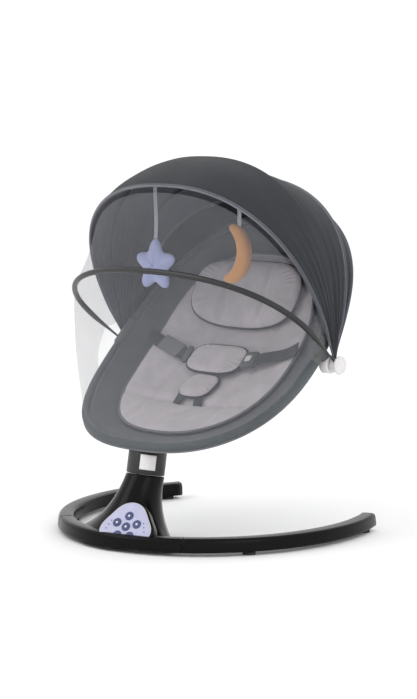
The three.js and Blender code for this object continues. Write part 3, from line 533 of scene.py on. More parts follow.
def make_finishes():
    """Every finish of the swing, by name."""
    c = colours()
    FINISHES.update({
        "gloss_black": plastic("gloss black plastic", tuple(c.gloss_black), 0.20, 0.00001, specular=0.12),
        "satin_black": plastic("satin black plastic", tuple(c.satin_black), 0.42),
        "rod": plastic("painted rod", tuple(c.satin_black), 0.35),
        "rubber": plastic("rubber", (0.02, 0.02, 0.02), 0.85, 0.0001),
        "lilac": plastic("panel plastic", tuple(c.panel_lilac), 0.32),
        "rim": plastic("panel rim", (0.5, 0.5, 0.55), 0.25),
        "navy": plastic("button plastic", tuple(c.navy), 0.35),
        "white": plastic("white plastic", tuple(c.white), 0.4),
        "grey_plastic": plastic("grey plastic", (0.10, 0.105, 0.105), 0.45),
        "steel": metal("steel", (0.55, 0.56, 0.57), 0.3),
        "copper": metal("copper winding", (0.5, 0.2, 0.1), 0.4),
        "board": plastic("circuit board", (0.02, 0.11, 0.05), 0.5),
        "hood_cloth": woven("hood cloth", tuple(c.hood_cloth)),
        "lining": woven("lining cloth", tuple(c.lining), sheen=0.1),
        "piping": woven("piping", (0.16, 0.165, 0.18), 0.0008),
        "seat_cloth": woven("seat cloth", tuple(c.seat_cloth)),
        "seat_lining": woven("seat lining", (0.10, 0.105, 0.115)),
        "pad_cloth": plush("pad velvet", tuple(c.pad_cloth)),
        "pad_piping": woven("pad piping", (0.035, 0.037, 0.042), 0.0008),
        "webbing": strap_weave("webbing", tuple(c.webbing)),
        "sleeve": strap_weave("sleeve", (0.17, 0.18, 0.18)),
        "star_cloth": plush("star plush", tuple(c.star)),
        "moon_cloth": plush("moon plush", tuple(c.moon)),
        "ribbon": woven("ribbon", (0.45, 0.46, 0.52), 0.0008),
        "net": gauze("insect net", tuple(c.net)),
    })


def finish(name):
    return FINISHES[name]


# ---------------------------------------------------------------- shared shapes

def seat_point(u, x, lift=0.0):
    """A point on the seat's sheet, which curves up from the feet to the head.

    Its slope grows evenly with u, the distance along it from the ring's widest place, so it is
    an arc: y = y0 + (sin(here) - sin(start)) / bend, z = z0 - (cos(here) - cos(start)) / bend.
    lift goes straight out of the sheet.
    """
    s = sizes()
    total = s.ring_front + s.ring_back
    bend = (s.tilt_back - s.tilt_front) / total
    here = s.tilt_front + (u + s.ring_front) * bend
    start = s.tilt_front + s.ring_front * bend
    y = s.ring_y + (np.sin(here) - math.sin(start)) / bend - lift * np.sin(here)
    z = s.ring_z - (np.cos(here) - math.cos(start)) / bend + lift * np.cos(here)
    return np.stack(np.broadcast_arrays(x, y, z), axis=-1)


def seat_normal(u):
    """The direction out of the seat's sheet."""
    s = sizes()
    bend = (s.tilt_back - s.tilt_front) / (s.ring_front + s.ring_back)
    here = s.tilt_front + (u + s.ring_front) * bend
    return np.stack(np.broadcast_arrays(0 * here, -np.sin(here), np.cos(here)), axis=-1)


def ring_outline(turn, inset=0.0):
    """The seat ring on its sheet: a superellipse, squarer (2.5) at the feet than the head (2)."""
    s = sizes()
    ahead = np.cos(turn) > 0
    exponent = np.where(ahead, 1.0, 0.8)
    reach = np.where(ahead, s.ring_back, s.ring_front) - inset
    u = reach * signed_power(np.cos(turn), exponent)
    x = (s.ring_half_width - inset) * signed_power(np.sin(turn), exponent)
    return u, x


def half_width(u, inset=0.013):
    """Half the seat's width at u, from the ring's outline."""
    s = sizes()
    ahead = u > 0
    n = np.where(ahead, 2.0, 2.5)
    reach = np.where(ahead, s.ring_back, s.ring_front) - inset
    left = np.clip(1 - (np.abs(u) / reach) ** n, 1e-9, 1)
    return (s.ring_half_width - inset) * left ** (1 / n)


def seat_floor(u, x):
    """How far the seat's cloth hangs: depth*sin(pi t)^0.9 along, (1 - q^2)^0.75 across."""
    s = sizes()
    t = np.clip((u + s.ring_front) / (s.ring_front + s.ring_back), 0, 1)
    depth = s.shell_depth * np.sin(math.pi * t) ** 0.9 * mix(0.8, 1.1, t)
    q = np.clip(np.abs(x) / half_width(u), 0, 1)
    return -depth * (1 - q * q) ** 0.75


def on_seat(u, x, lift):
    return seat_point(u, x, seat_floor(u, x) + lift)


def arch_flat(turn, reach, wide, core=0.098, power=2.35):
    """An arch seen flat: x = wide*sin^(2/n), distance from the hub = core + rise*cos^(2/n)."""
    x = wide * signed_power(np.sin(turn), 2 / power)
    r = core + (reach - core) * signed_power(np.cos(turn), 2 / power)
    return x, r


def turn_at(reach, radius, core=0.098, power=2.35):
    """The arch's turn at which it is this far from the hub axis."""
    side = (radius - core) / (reach - core)
    return np.arccos(signed_power(side, power / 2))


def around_hub(x, r, rise):
    """Carries a flat arch point round the hub axis, to its angle above level at the feet."""
    s = sizes()
    return np.stack(np.broadcast_arrays(x, s.hub_y - r * np.cos(rise), s.hub_z + r * np.sin(rise)),
                    axis=-1)


LAYER = 0.0036
FIRST_LAYER = 0.2415


def arch_line(t, reach, wide, layer):
    """An arch from hub to hub: t from -1 to 1. Its two ends run straight in to their layer."""
    knee = 0.84
    last = turn_at(reach, 0.093)
    x, r = arch_flat(np.clip(t / knee, -1, 1) * last, reach, wide)
    tail = np.clip((np.abs(t) - knee) / (1 - knee), 0, 1)
    eye = FIRST_LAYER + layer * LAYER
    x = np.sign(t) * mix(np.abs(x), eye, smooth(0, 1, tail))
    r = mix(r, 0.013, tail)
    return x, r


# ---------------------------------------------------------------- base and column

def base_point(turn, inset):
    """A point of the base's plan, an ellipse, at this angle from the front."""
    s = sizes()
    x = (s.base_half_width - inset) * np.sin(turn)
    y = s.base_front + s.base_half_length - (s.base_half_length - inset) * np.cos(turn)
    return x, y


def leg_sweep(name, start, end, steps, material):
    """The base tube: a soft-cornered section, leaning in 3 mm a side, along the plan's ellipse."""
    s = sizes()
    turn = np.linspace(start, end, steps)
    side, up = section_points(40, s.leg_width / 2, s.leg_height / 2, 4.2)
    side = side * (1 - 0.09 * (1 + up / (s.leg_height / 2)))
    x, y = base_point(turn[:, None], s.leg_width / 2 - side[None])
    z = np.broadcast_to(s.foot_height + s.leg_height / 2 + up[None], x.shape)
    points = np.stack([x, y, z], axis=-1)
    middle = points.mean(axis=1, keepdims=True)
    soft = 0.0012 / s.leg_width
    rim_first = mix(points[:1], middle[:1], soft * 4)
    rim_last = mix(points[-1:], middle[-1:], soft * 4)
    fan_first = np.repeat(middle[:1], len(side), axis=1)
    fan_last = np.repeat(middle[-1:], len(side), axis=1)
    points = np.concatenate([fan_first, rim_first, points, rim_last, fan_last])
    return surface(name, points, material, columns_closed=True, flip=start < end,
                   uv_size=(0.5, 0.1))


def column_surface(name, material):
    """The column: its outline shrinks with (1 - t)^2.6 from the base's front to the round neck."""
    s = sizes()
    t, a = grid(90, 160, columns_closed=True)
    turn = TURN * a
    low = (1 - t) ** 2.6
    square = mix(1, 0.8, low)
    flare = (s.base_half_width - s.leg_width) * math.sin(33 * DEG) - 0.005
    wide = mix(s.neck_radius, flare, low)
    back, front = 0.052, s.base_front
    deep = mix(s.neck_radius, (back - front) / 2, (1 - t) ** 1.2)
    across = signed_power(np.cos(turn), square)
    ends = low * across * across
    spread = deep * signed_power(np.sin(turn), square) * (1 - 0.76 * ends)
    middle = mix((front + back) / 2, s.neck_y, t) - 0.0145 * ends
    top = s.neck_z - 0.002
    rise = mix(s.foot_height + 0.0005, top, t) - math.tan(s.neck_tilt) * spread * t
    points = np.stack([wide * across, middle + spread, rise], axis=-1)
    lip = mix(points[-1:], points[-1:].mean(axis=1, keepdims=True), 0.03)
    lip = lip + np.array([0, math.sin(s.neck_tilt), math.cos(s.neck_tilt)]) * 0.0004
    cap = np.repeat(points[-1:].mean(axis=1, keepdims=True), a.shape[1], axis=1)
    foot = np.repeat(points[:1].mean(axis=1, keepdims=True), a.shape[1], axis=1)
    points = np.concatenate([foot, points, lip, cap])
    return surface(name, points, material, columns_closed=True, uv_size=(0.2, 0.4), flip=True)


PANEL_PLACE = moved(0.042, -0.057, 0.043) @ turn_z(14) @ turn_x(54)


def panel_outline(size, count=180):
    """A rounded triangle: radius = size*(0.86 - 0.1 sin 3a), a little wider than high."""
    turn = np.linspace(0, TURN, count, endpoint=False)
    radius = size * (0.86 - 0.1 * np.sin(3 * turn))
    return np.stack([radius * 1.08 * np.cos(turn), radius * 0.88 * np.sin(turn)], axis=-1)


def disc_outline(x, y, radius, count=56):
    turn = np.linspace(0, TURN, count, endpoint=False)
    return np.stack([radius * np.cos(turn), radius * np.sin(turn)], axis=-1), moved(x, y, 0)


def build_base():
    s = sizes()
    black = finish("gloss_black")
    sweep_end = s.base_sweep - 0.007 / s.base_half_length
    seam = 33 * DEG
    gap = 0.0006 / s.base_half_length
    for side, word in ((1, "left"), (-1, "right")):
        leg = leg_sweep(f"{word}_leg_skin", side * (seam + gap), side * sweep_end, 90, black)
        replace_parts(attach(leg, "base"), f"{word}_leg")
        cap = leg_sweep(f"{word}_leg_cap_skin", side * (sweep_end + gap), side * s.base_sweep, 6,
                        finish("satin_black"))
        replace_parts(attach(cap, "base"), f"{word}_leg_cap")
    moulding = leg_sweep("front_moulding", -seam + gap, seam - gap, 90, black)
    column = column_surface("column_skin", black)
    boss = plate("panel_boss", panel_outline(0.0545), -0.022, -0.0006, 0.0045, PANEL_PLACE, black,
                 7)
    housing = joined("column_skin", [column, moulding, boss])
    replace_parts(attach(housing, "base"), "column_housing")


def build_controls():
    rim = plate("panel_rim", panel_outline(0.0506), -0.003, -0.0002, 0.0008, PANEL_PLACE,
                finish("rim"))
    face = plate("panel_face", panel_outline(0.0486), -0.002, 0.0004, 0.0005, PANEL_PLACE,
                 finish("lilac"))
    both = joined("panel_skin", [rim, face])
    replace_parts(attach(both, "base"), "control_panel")
    names = ["up", "music", "mode", "timer", "swing"]
    places = {"power": (0.0, -0.003)}
    for i, name in enumerate(names):
        turn = math.pi / 2 + TURN * i / 5
        places[name] = (0.020 * math.cos(turn), 0.020 * math.sin(turn) - 0.003)
    for name, (x, y) in places.items():
        outline, shift = disc_outline(x, y, 0.0078)
        cap = plate(f"{name}_button_skin", outline, -0.002, 0.0017, 0.0007,
                    PANEL_PLACE @ shift, finish("navy"))
        mark = plate(f"{name}_mark", disc_outline(x, y, 0.0019, 24)[0], 0.0012, 0.00185, 0.0002,
                     PANEL_PLACE @ shift, finish("white"))
        cap = joined(f"{name}_button_skin", [cap, mark])
        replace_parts(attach(cap, f"{name}_button"), f"button_{name}")
    lamps = []
    for i in range(6):
        side = -1 if i < 3 else 1
        step = i % 3
        x = side * (0.031 + 0.003 * step)
        y = 0.006 - 0.0075 * step
        outline, shift = disc_outline(x, y, 0.0011, 16)
        lamps.append(plate(f"lamp_{i}", outline, 0.0001, 0.0008, 0.0002, PANEL_PLACE @ shift,
                           finish("navy")))
    lamps = joined("panel_lamps", lamps)
    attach(lamps, "base")


def build_neck():
    s = sizes()
    axis = np.array([0, math.sin(s.neck_tilt), math.cos(s.neck_tilt)])
    origin = np.array([0, s.neck_y, s.neck_z])
    r, high = s.neck_radius, s.neck_length
    profile = [(0, 0), (0, r - 0.0015), (0.0004, r - 0.0005), (0.0012, r), (high * 0.5, r),
               (high - 0.0015, r), (high - 0.0004, r - 0.0005), (high, r - 0.0015), (high, 0)]
    neck = turned("neck_skin", profile, origin, axis, finish("satin_black"), 96)
    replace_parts(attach(neck, "swing_seat"), "neck_housing")
    a, b = grid(40, 12)
    turn = mix(-67, -19, a) * DEG
    x = (r + 0.0006) * np.cos(turn)
    flat_y = (r + 0.0006) * np.sin(turn)
    up = mix(0.008, high - 0.005, b)
    y = s.neck_y + flat_y * math.cos(s.neck_tilt) + up * math.sin(s.neck_tilt)
    z = s.neck_z - flat_y * math.sin(s.neck_tilt) + up * math.cos(s.neck_tilt)
    label = surface("neck_label_skin", np.stack([x, y, z], axis=-1), finish("white"),
                    uv_size=(0.03, 0.03))
    thick(label, 0.0004, -1)
    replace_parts(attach(label, "swing_seat"), "neck_label")


# ---------------------------------------------------------------- seat

def build_seat_shell():
    """The seat's outer cloth, its lining and the bound rim over the ring's tube."""
    t, a = grid(72, 240, columns_closed=True)
    turn = TURN * a
    spread = np.sin(t * math.pi / 2)
    outer_u, outer_x = ring_outline(turn)
    u, x = outer_u * spread, outer_x * spread
    ripple = 0.0012 * np.sin(26 * turn) * smooth(0.75, 0.95, spread) * (1 - smooth(0.96, 1, spread))
    drop = 0.0045 * (1 - smooth(0.94, 1, spread)) + ripple
    skin = seat_point(u, x, seat_floor(u, x * 0.985) - drop)
    outer = surface("seat_cloth", skin[::-1], finish("seat_cloth"), columns_closed=True,
                    uv_size=(0.30, 1.55), flip=False)
    thick(outer, 0.0012, 1)
    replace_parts(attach(outer, "swing_seat"), "seat_shell", "seat_front_tube", "seat_rear_tube")
    inside = seat_point(u, x, seat_floor(u, x) + 0.0006)
    lining = surface("seat_lining", inside, finish("seat_lining"), columns_closed=True,
                     uv_size=(0.30, 1.55), flip=False)
    thick(lining, 0.0010, -1)
    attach(lining, "swing_seat")
    rim_turn = np.linspace(0, TURN, 260, endpoint=False)
    ring_u, ring_x = ring_outline(rim_turn)
    path = seat_point(ring_u, ring_x)
    rim = tube("bound_rim", path, seat_normal(ring_u), 0.0084, finish("seat_cloth"), closed=True,
               sides=24)
    cord_u, cord_x = ring_outline(rim_turn, -0.0070)
    edge = tube("rim_piping", seat_point(cord_u, cord_x, -0.0058), seat_normal(cord_u), 0.0018,
                finish("piping"), closed=True, sides=10)
    rim = joined("bound_rim", [rim, edge])
    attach(rim, "swing_seat")
    teeth = zip_band()
    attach(teeth, "swing_seat")


def zip_band():
    """A zip sewn round the foot end below the rim: a tape and a raised row of teeth."""
    turn = np.linspace(70 * DEG, 290 * DEG, 260)
    u, x = ring_outline(turn)
    low = 0.955
    path = seat_point(u * low, x * low, seat_floor(u * low, x * low * 0.985) - 0.0062)
    side, up = section_points(12, 0.0011, 0.0055, 4)
    tape = sweep("zip_tape", path, seat_normal(u), side, up, finish("lining"))
    side, up = section_points(12, 0.0020, 0.0014, 2)
    row = sweep("zip_teeth", path, seat_normal(u), side, up, finish("grey_plastic"))
    return joined("zip_band", [tape, row])


def cushion(name, u0, half_length, wide, rest, height, material, x0=0.0, squareness=2.6,
            seams=(), rows=40, columns=160):
    """A stuffed cushion on the seat: top and bottom skins meet at a rounded edge.

    Distance from the middle is p, and the top skin's height is height*(1 - p^4)^0.5. Each seam
    presses a groove of a bell shape into it.
    """
    t, a = grid(rows, columns, columns_closed=True)
    turn = TURN * a
    p = np.sin(t * math.pi / 2)
    u = u0 + half_length * p * signed_power(np.cos(turn), 2 / squareness)
    x = x0 + wide * p * signed_power(np.sin(turn), 2 / squareness)
    puff = np.sqrt(np.clip(1 - p ** 5, 0, 1))
    groove = np.zeros_like(u)
    for kind, where, depth, spread in seams:
        away = (x - x0 - where) if kind == "x" else (u - u0 - where)
        groove = groove + depth * np.exp(-(away / spread) ** 2)
    wrinkle = 0.0011 * np.sin(31 * turn + 3 * np.sin(5 * turn)) * smooth(0.6, 0.95, p) * puff
    soft = 0.0012 * np.sin(u * 61 + 2 * np.sin(x * 43)) * np.cos(x * 53) * puff
    top = rest + height * 0.35 + height * 0.65 * puff - groove * puff + wrinkle + soft
    bottom = rest + height * 0.35 * (1 - puff)
    upper = on_seat(u, x, top)
    lower = on_seat(u, x, bottom)
    points = np.concatenate([upper, lower[::-1][1:]])
    made = surface(name, points, material, columns_closed=True, flip=False, uv_size=(0.4, 0.8))
    return made


def cushion_piping(name, u0, half_length, wide, rest, height, material, x0=0.0, squareness=2.6,
                   radius=0.0026):
    """A cord round a cushion's widest line."""
    turn = np.linspace(0, TURN, 220, endpoint=False)
    u = u0 + half_length * signed_power(np.cos(turn), 2 / squareness)
    x = x0 + wide * signed_power(np.sin(turn), 2 / squareness)
    path = on_seat(u, x, rest + height * 0.35)
    return tube(name, path, seat_normal(u), radius, material, closed=True, sides=8)


PAD_REST = 0.003
PAD_TOP = 0.017


def build_padding():
    pad_seams = [("u", -0.115, 0.007, 0.006), ("u", 0.02, 0.004, 0.007),
                 ("x", 0.085, 0.0035, 0.006), ("x", -0.085, 0.0035, 0.006)]
    pieces = (
        ("seat_pad_skin", "seat_pad", 0.0055, 0.207, 0.168, PAD_REST, 0.016, 2.5, pad_seams, 0.7),
        ("head_pillow_skin", "head_pillow", 0.128, 0.062, 0.124, PAD_TOP, 0.030, 3.0,
         [("x", 0.045, 0.007, 0.006), ("x", -0.045, 0.007, 0.006)], 0.8),
        ("belly_pad_skin", "belly_pad", -0.008, 0.032, 0.062, PAD_TOP + 0.010, 0.014, 3.4,
         [("x", 0.0, 0.002, 0.01)], 0.7),
        ("crotch_pad_skin", "crotch_strap", -0.0715, 0.030, 0.034, PAD_TOP + 0.002, 0.017, 3.0,
         [], 0.6),
    )
    for name, replaced, u0, long, wide, rest, height, square, seams, fill in pieces:
        body = cushion(name, u0, long, wide, rest, height, finish("pad_cloth"), 0, square, seams)
        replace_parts(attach(body, "swing_seat"), replaced)
        dark = "pad_piping" if replaced != "seat_pad" else "piping"
        cord = cushion_piping(name.replace("skin", "piping"), u0, long, wide, rest, height,
                              finish(dark), 0, square)
        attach(cord, "swing_seat")


def tape(name, x, u, lift, half, thickness, material):
    """A flat tape along a line on the seat, given as arrays of x, u and lift."""
    path = on_seat(u, x, lift)
    side, up = section_points(16, half, thickness / 2, 6)
    return sweep(name, path, seat_normal(u), side, up, material)


def build_harness():
    rest = PAD_TOP
    for word, side, start in (("right", -1, 0.072), ("left", 1, 0.098)):
        t = np.linspace(0, 1, 50)
        x = side * mix(start, 0.176, t)
        u = mix(-0.008, 0.022, t)
        lift = rest + mix(0.0185, 0.0035, smooth(0, 0.8, t))
        strap = tape(f"{word}_waist_strap_skin", x, u, lift, 0.0125, 0.0024, finish("webbing"))
        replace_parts(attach(strap, "swing_seat"), f"{word}_waist_strap")
    for side in (-1, 1):
        t = np.linspace(0, 1, 30)
        x = side * mix(0.020, 0.027, t)
        u = mix(-0.095, -0.122, t)
        lift = rest + mix(0.010, -0.006, t)
        strap = tape(f"crotch_tape_{side}", x, u, lift, 0.009, 0.0022, finish("webbing"))
        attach(strap, "swing_seat")
    t = np.linspace(0, 1, 40)
    sleeve = tape("strap_sleeve", mix(-0.088, -0.142, t), mix(-0.003, 0.014, t),
                  rest + mix(0.0165, 0.0085, t), 0.0150, 0.0042, finish("sleeve"))
    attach(sleeve, "swing_seat")
    buckle_place = seat_place(-0.008, 0.0805, rest + 0.019, -12)
    buckle = rounded_box("buckle_skin", 0.033, 0.034, 0.009, 0.003, buckle_place,
                         finish("grey_plastic"))
    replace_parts(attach(buckle, "swing_seat"), "waist_buckle")
    button = rounded_box("buckle_button_skin", 0.014, 0.012, 0.0034, 0.001,
                         buckle_place @ moved(0, 0, 0.0045), finish("white"))
    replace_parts(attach(button, "buckle_release"), "buckle_button")
    adjuster = rounded_box("adjuster_skin", 0.010, 0.036, 0.006, 0.002,
                           seat_place(-0.008, -0.068, rest + 0.019, 12), finish("grey_plastic"))
    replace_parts(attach(adjuster, "swing_seat"), "strap_adjuster")


def seat_place(u, x, lift, slope):
    """A frame lying on the seat's pad, tipped sideways by slope degrees."""
    s = sizes()
    bend = (s.tilt_back - s.tilt_front) / (s.ring_front + s.ring_back)
    here = (s.tilt_front + (u + s.ring_front) * bend) / DEG
    c, n = math.cos(slope * DEG), math.sin(slope * DEG)
    tip = np.array([[c, 0, n, 0], [0, 1, 0, 0], [-n, 0, c, 0], [0, 0, 0, 1.0]])
    spot = on_seat(np.array(u), np.array(x), lift)
    return moved(*spot) @ turn_x(here) @ tip


def rounded_box(name, wide, long, high, edge, place, material):
    """A box with rounded edges, from a superellipse outline and a rounded plate."""
    side, up = section_points(64, wide / 2, long / 2, 7)
    return plate(name, np.stack([side, up], axis=-1), -high / 2, high / 2, edge, place, material, 6)


# ---------------------------------------------------------------- hubs, hood and net

def build_hubs():
    s = sizes()
    hub = np.array([0, s.hub_y, s.hub_z])
    for side, word in ((1, "left"), (-1, "right")):
        axis = np.array([side, 0, 0.0])
        barrel = [(0.222, 0), (0.222, 0.0145), (0.2235, 0.016), (0.2375, 0.016), (0.2392, 0.0145),
                  (0.2392, 0)]
        body = turned(f"{word}_barrel", barrel, hub, axis, finish("white"), 64)
        ring_turn = np.linspace(side * 91 * DEG, side * 81 * DEG, 16)
        u, x = ring_outline(ring_turn)
        side_points, up_points = section_points(24, 0.0108, 0.0108)
        clamp = sweep(f"{word}_clamp", seat_point(u, x), seat_normal(u), side_points, up_points,
                      finish("grey_plastic"))
        low = hub + axis * 0.2305
        middle_u, middle_x = ring_outline(np.array([side * 86 * DEG]))
        high = seat_point(middle_u, middle_x)[0]
        path = np.linspace(low, high, 8)
        arm = tube(f"{word}_arm", path, np.array([1.0, 0, 0]), 0.0085, finish("grey_plastic"))
        body = joined(f"{word}_hub_skin", [body, clamp, arm])
        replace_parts(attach(body, "swing_seat"), f"{word}_hub")
        start = 0.2539
        cap = [(start, 0), (start, 0.0150), (start + 0.0008, 0.016), (start + 0.0035, 0.016),
               (start + 0.0052, 0.0148), (start + 0.0058, 0.0125), (start + 0.0050, 0.0118),
               (start + 0.0054, 0.006), (start + 0.0056, 0)]
        knob = turned(f"{word}_knob_skin", cap, hub, axis, finish("white"), 64)
        core = turned(f"{word}_core", [(0.2385, 0), (0.2385, 0.0125), (0.2545, 0.0125),
                                       (0.2545, 0)], hub, axis, finish("white"), 48)
        knob = joined(f"{word}_knob_skin", [knob, core])
        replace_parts(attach(knob, "swing_seat"), f"{word}_knob")


FOLDS = 5
FOLD_HEIGHT = 0.0009
CREEP_HEIGHT = 0.0008
PANEL_SAG = 0.0022


def hood_surface(reaches, wide, start, end, layer, seed=0.0, rows=200, columns=56):
    """A hood panel: arches from hub to hub, turned from start to end round the hub axis.

    The cloth sinks a little between its two edges, and gathers into radiating folds near the
    hubs: a sum of two sines of v, times a share that grows as the distance to the hub shrinks.
    """
    t, v = grid(rows, columns)
    t = t * 2 - 1
    reach = mix(reaches[0], reaches[1], v)
    x, r = arch_line(t, reach, wide, layer)
    rise = mix(start, end, v)
    points = around_hub(x, r, rise)
    along = np.gradient(points, axis=0)
    across = np.gradient(points, axis=1)
    normal = np.cross(across, along)
    normal /= np.maximum(np.linalg.norm(normal, axis=2, keepdims=True), 1e-12)
    near = smooth(0.36, 0.92, np.abs(t)) * (1 - smooth(0.93, 1.0, np.abs(t)))
    wave = np.sin(FOLDS * TURN * v + seed + 1.3 * np.sin(3 * t + seed))
    wave = wave + 0.45 * np.sin(2.3 * FOLDS * TURN * v + 2 * seed)
    edge = np.sin(math.pi * v) ** 0.7
    creep = CREEP_HEIGHT * np.sin(9 * t + 4 * v + seed) * np.sin(5 * v + 2 * seed)
    sag = PANEL_SAG * np.sin(math.pi * v) * (1 - near)
    height = FOLD_HEIGHT * near * wave * edge - sag + creep * edge
    return points + normal * height[..., None]


REAR_BOW_REACH = 0.294
SKIRT_TOP_ANGLE = 110.9
SKIRT_TURN = 74
SKIRT_CLEAR = 0.0088


def build_hood():
    s = sizes()
    wide = [s.hood_half_width - k * s.hood_nest for k in range(3)]
    panels = (
        ("front", (0.348, 0.356), wide[0], 60.2, 80.0, 2, (0.76, 0.165), 0.0),
        ("middle", (0.340, 0.317), wide[1], 75.0, 99.4, 1, (0.74, 0.165), 1.7),
        ("rear", (0.312, REAR_BOW_REACH), wide[2], 95.0, 109.6, 0, (0.70, 0.105), 3.1),
    )
    for name, reaches, half, start, end, layer, flat, seed in panels:
        body = f"hood_{name}"
        points = hood_surface(reaches, half, start * DEG, end * DEG, layer, seed=seed)
        cloth = surface(f"hood_{name}_cloth", points, [finish("hood_cloth"), finish("lining")],
                        uv_size=(0.95, 0.19), flip=True)
        thick(cloth, 0.0014, 0, inner=1)
        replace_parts(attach(cloth, body), f"hood_{name}_panel")
        bow_at = {"front": (reaches[0], start + 0.3), "middle": (reaches[1], end + 0.6),
                  "rear": (reaches[1], end + 0.4)}[name]
        t = np.linspace(-1, 1, 200)
        x, r = arch_line(t, bow_at[0], half, layer)
        rise = bow_at[1] * DEG
        path = around_hub(x, r, np.full_like(r, rise))
        normal = np.array([0, math.sin(rise), math.cos(rise)])
        narrow = mix(0.55, 1.0, smooth(0.02, 0.09, r))
        rod = tube(f"hood_{name}_bow_skin", path, normal, 0.0031, finish("hood_cloth"), sides=14,
                   scale=narrow)
        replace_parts(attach(rod, body), f"hood_{name}_bow")
        trims = []
        hem_v = {"front": (0.0, 0.055), "middle": (1.0, 0.96), "rear": (1.0, 0.96)}[name]
        for k, v in enumerate(hem_v):
            column = int(round(v * (points.shape[1] - 1)))
            line = points[6:-6, column]
            step = 1 if column < points.shape[1] / 2 else -1
            other = points[6:-6, column + step]
            outward = np.cross(np.gradient(line, axis=0), (other - line) * step)
            outward /= np.linalg.norm(outward, axis=1, keepdims=True)
            if k == 0:
                trims.append(tube(f"{name}_piping", line, outward, 0.0021, finish("piping"),
                                  sides=10))
            else:
                side, up = section_points(8, 0.0006, 0.0005)
                trims.append(sweep(f"{name}_stitch_line", line - outward * 0.0009, outward, side,
                                   up, finish("piping")))
        trim = joined(f"hood_{name}_trim", trims)
        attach(trim, body)


def build_skirt():
    """The hood's back skirt: straight lines from the rear arch down to the ring's outer side."""
    s = sizes()
    a, v = grid(160, 30)
    line = a[:, 0] * 2 - 1
    wide = s.hood_half_width - 2 * s.hood_nest
    top = net_line(line, REAR_BOW_REACH, wide, SKIRT_TOP_ANGLE * DEG)
    ring_u, ring_x = ring_outline(line * SKIRT_TURN * DEG, -SKIRT_CLEAR)
    foot = seat_point(ring_u, ring_x)
    down = foot - top
    out = np.cross(np.gradient(top, axis=0), down)
    out /= np.linalg.norm(out, axis=1, keepdims=True)
    out *= np.sign(np.sum(out * (top - np.array([0, s.ring_y, s.ring_z])), axis=1, keepdims=True))
    slack = 0.0022 * np.sin(math.pi * v) * np.sin(52 * a + 2 * np.sin(7 * a))
    points = mix(top[:, None], foot[:, None], v[..., None]) + slack[..., None] * out[:, None]
    skirt = surface("hood_skirt_cloth", points, [finish("hood_cloth"), finish("lining")],
                    uv_size=(0.60, 0.08), flip=False)
    thick(skirt, 0.0012, 0, inner=1)
    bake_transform(skirt)
    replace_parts(skirt, "hood_back_skirt")


def net_line(t, reach, wide, rise):
    """An edge along an arch, from t = -1 to 1, stopping 60 mm from the hub axis."""
    last = turn_at(reach, 0.060)
    x, r = arch_flat(t * last, reach, wide)
    return around_hub(x, r, np.full_like(r, rise))


def build_net():
    s = sizes()
    t = np.linspace(-1, 1, 220)
    x, r = arch_line(t, s.hoop_reach, s.hoop_half_width, 3)
    rise = s.hoop_angle
    path = around_hub(x, r, np.full_like(r, rise))
    normal = np.array([0, math.sin(rise), math.cos(rise)])
    narrow = mix(0.4, 1.0, smooth(0.03, 0.11, r))
    hoop = tube("net_hoop_skin", path, normal, s.hoop_radius, finish("rod"), sides=18,
                scale=narrow)
    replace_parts(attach(hoop, "insect_net"), "net_hoop")

    u, v = grid(150, 40)
    line = u[:, 0] * 2 - 1
    top = net_line(line, 0.337, s.hood_half_width - 0.010, 59.4 * DEG)
    hoop_up = net_line(line, s.hoop_reach, s.hoop_half_width, rise + 0.012)
    sag = np.sin(math.pi * v)[..., None]
    wave = (0.0016 * np.sin(14 * u + 2) * np.sin(math.pi * v))[..., None]
    inward = np.array([0, 0.45, -0.35])
    points = mix(top[:, None], hoop_up[:, None], v[..., None]) + (0.012 * sag + wave) * inward
    upper = surface("upper_net_gauze", points, finish("net"), uv_size=(0.70, 0.15), flip=False)
    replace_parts(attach(upper, "insect_net"), "upper_net")

    hoop_down = net_line(line, s.hoop_reach, s.hoop_half_width, rise - 0.012)
    turn = mix(-104, 104 - 360, u[:, 0]) * DEG
    ring_u, ring_x = ring_outline(turn, -0.002)
    rim = seat_point(ring_u, ring_x, 0.006)
    bulge = np.array([0, -0.6, -0.1])
    points = mix(hoop_down[:, None], rim[:, None], v[..., None]) + (0.014 * sag + wave) * bulge
    lower = surface("lower_net_gauze", points, finish("net"), uv_size=(0.70, 0.28), flip=False)
    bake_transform(lower)
    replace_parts(lower, "lower_net")


# ---------------------------------------------------------------- toys

def toy_radius(turn, size):
    """A star with five round points: radius = size*(0.64 + 0.36*((cos 5a + 1)/2)^1.25)."""
    wave = np.cos(5 * turn)
    return size * (0.64 + 0.36 * signed_power((wave + 1) / 2, 1.25))


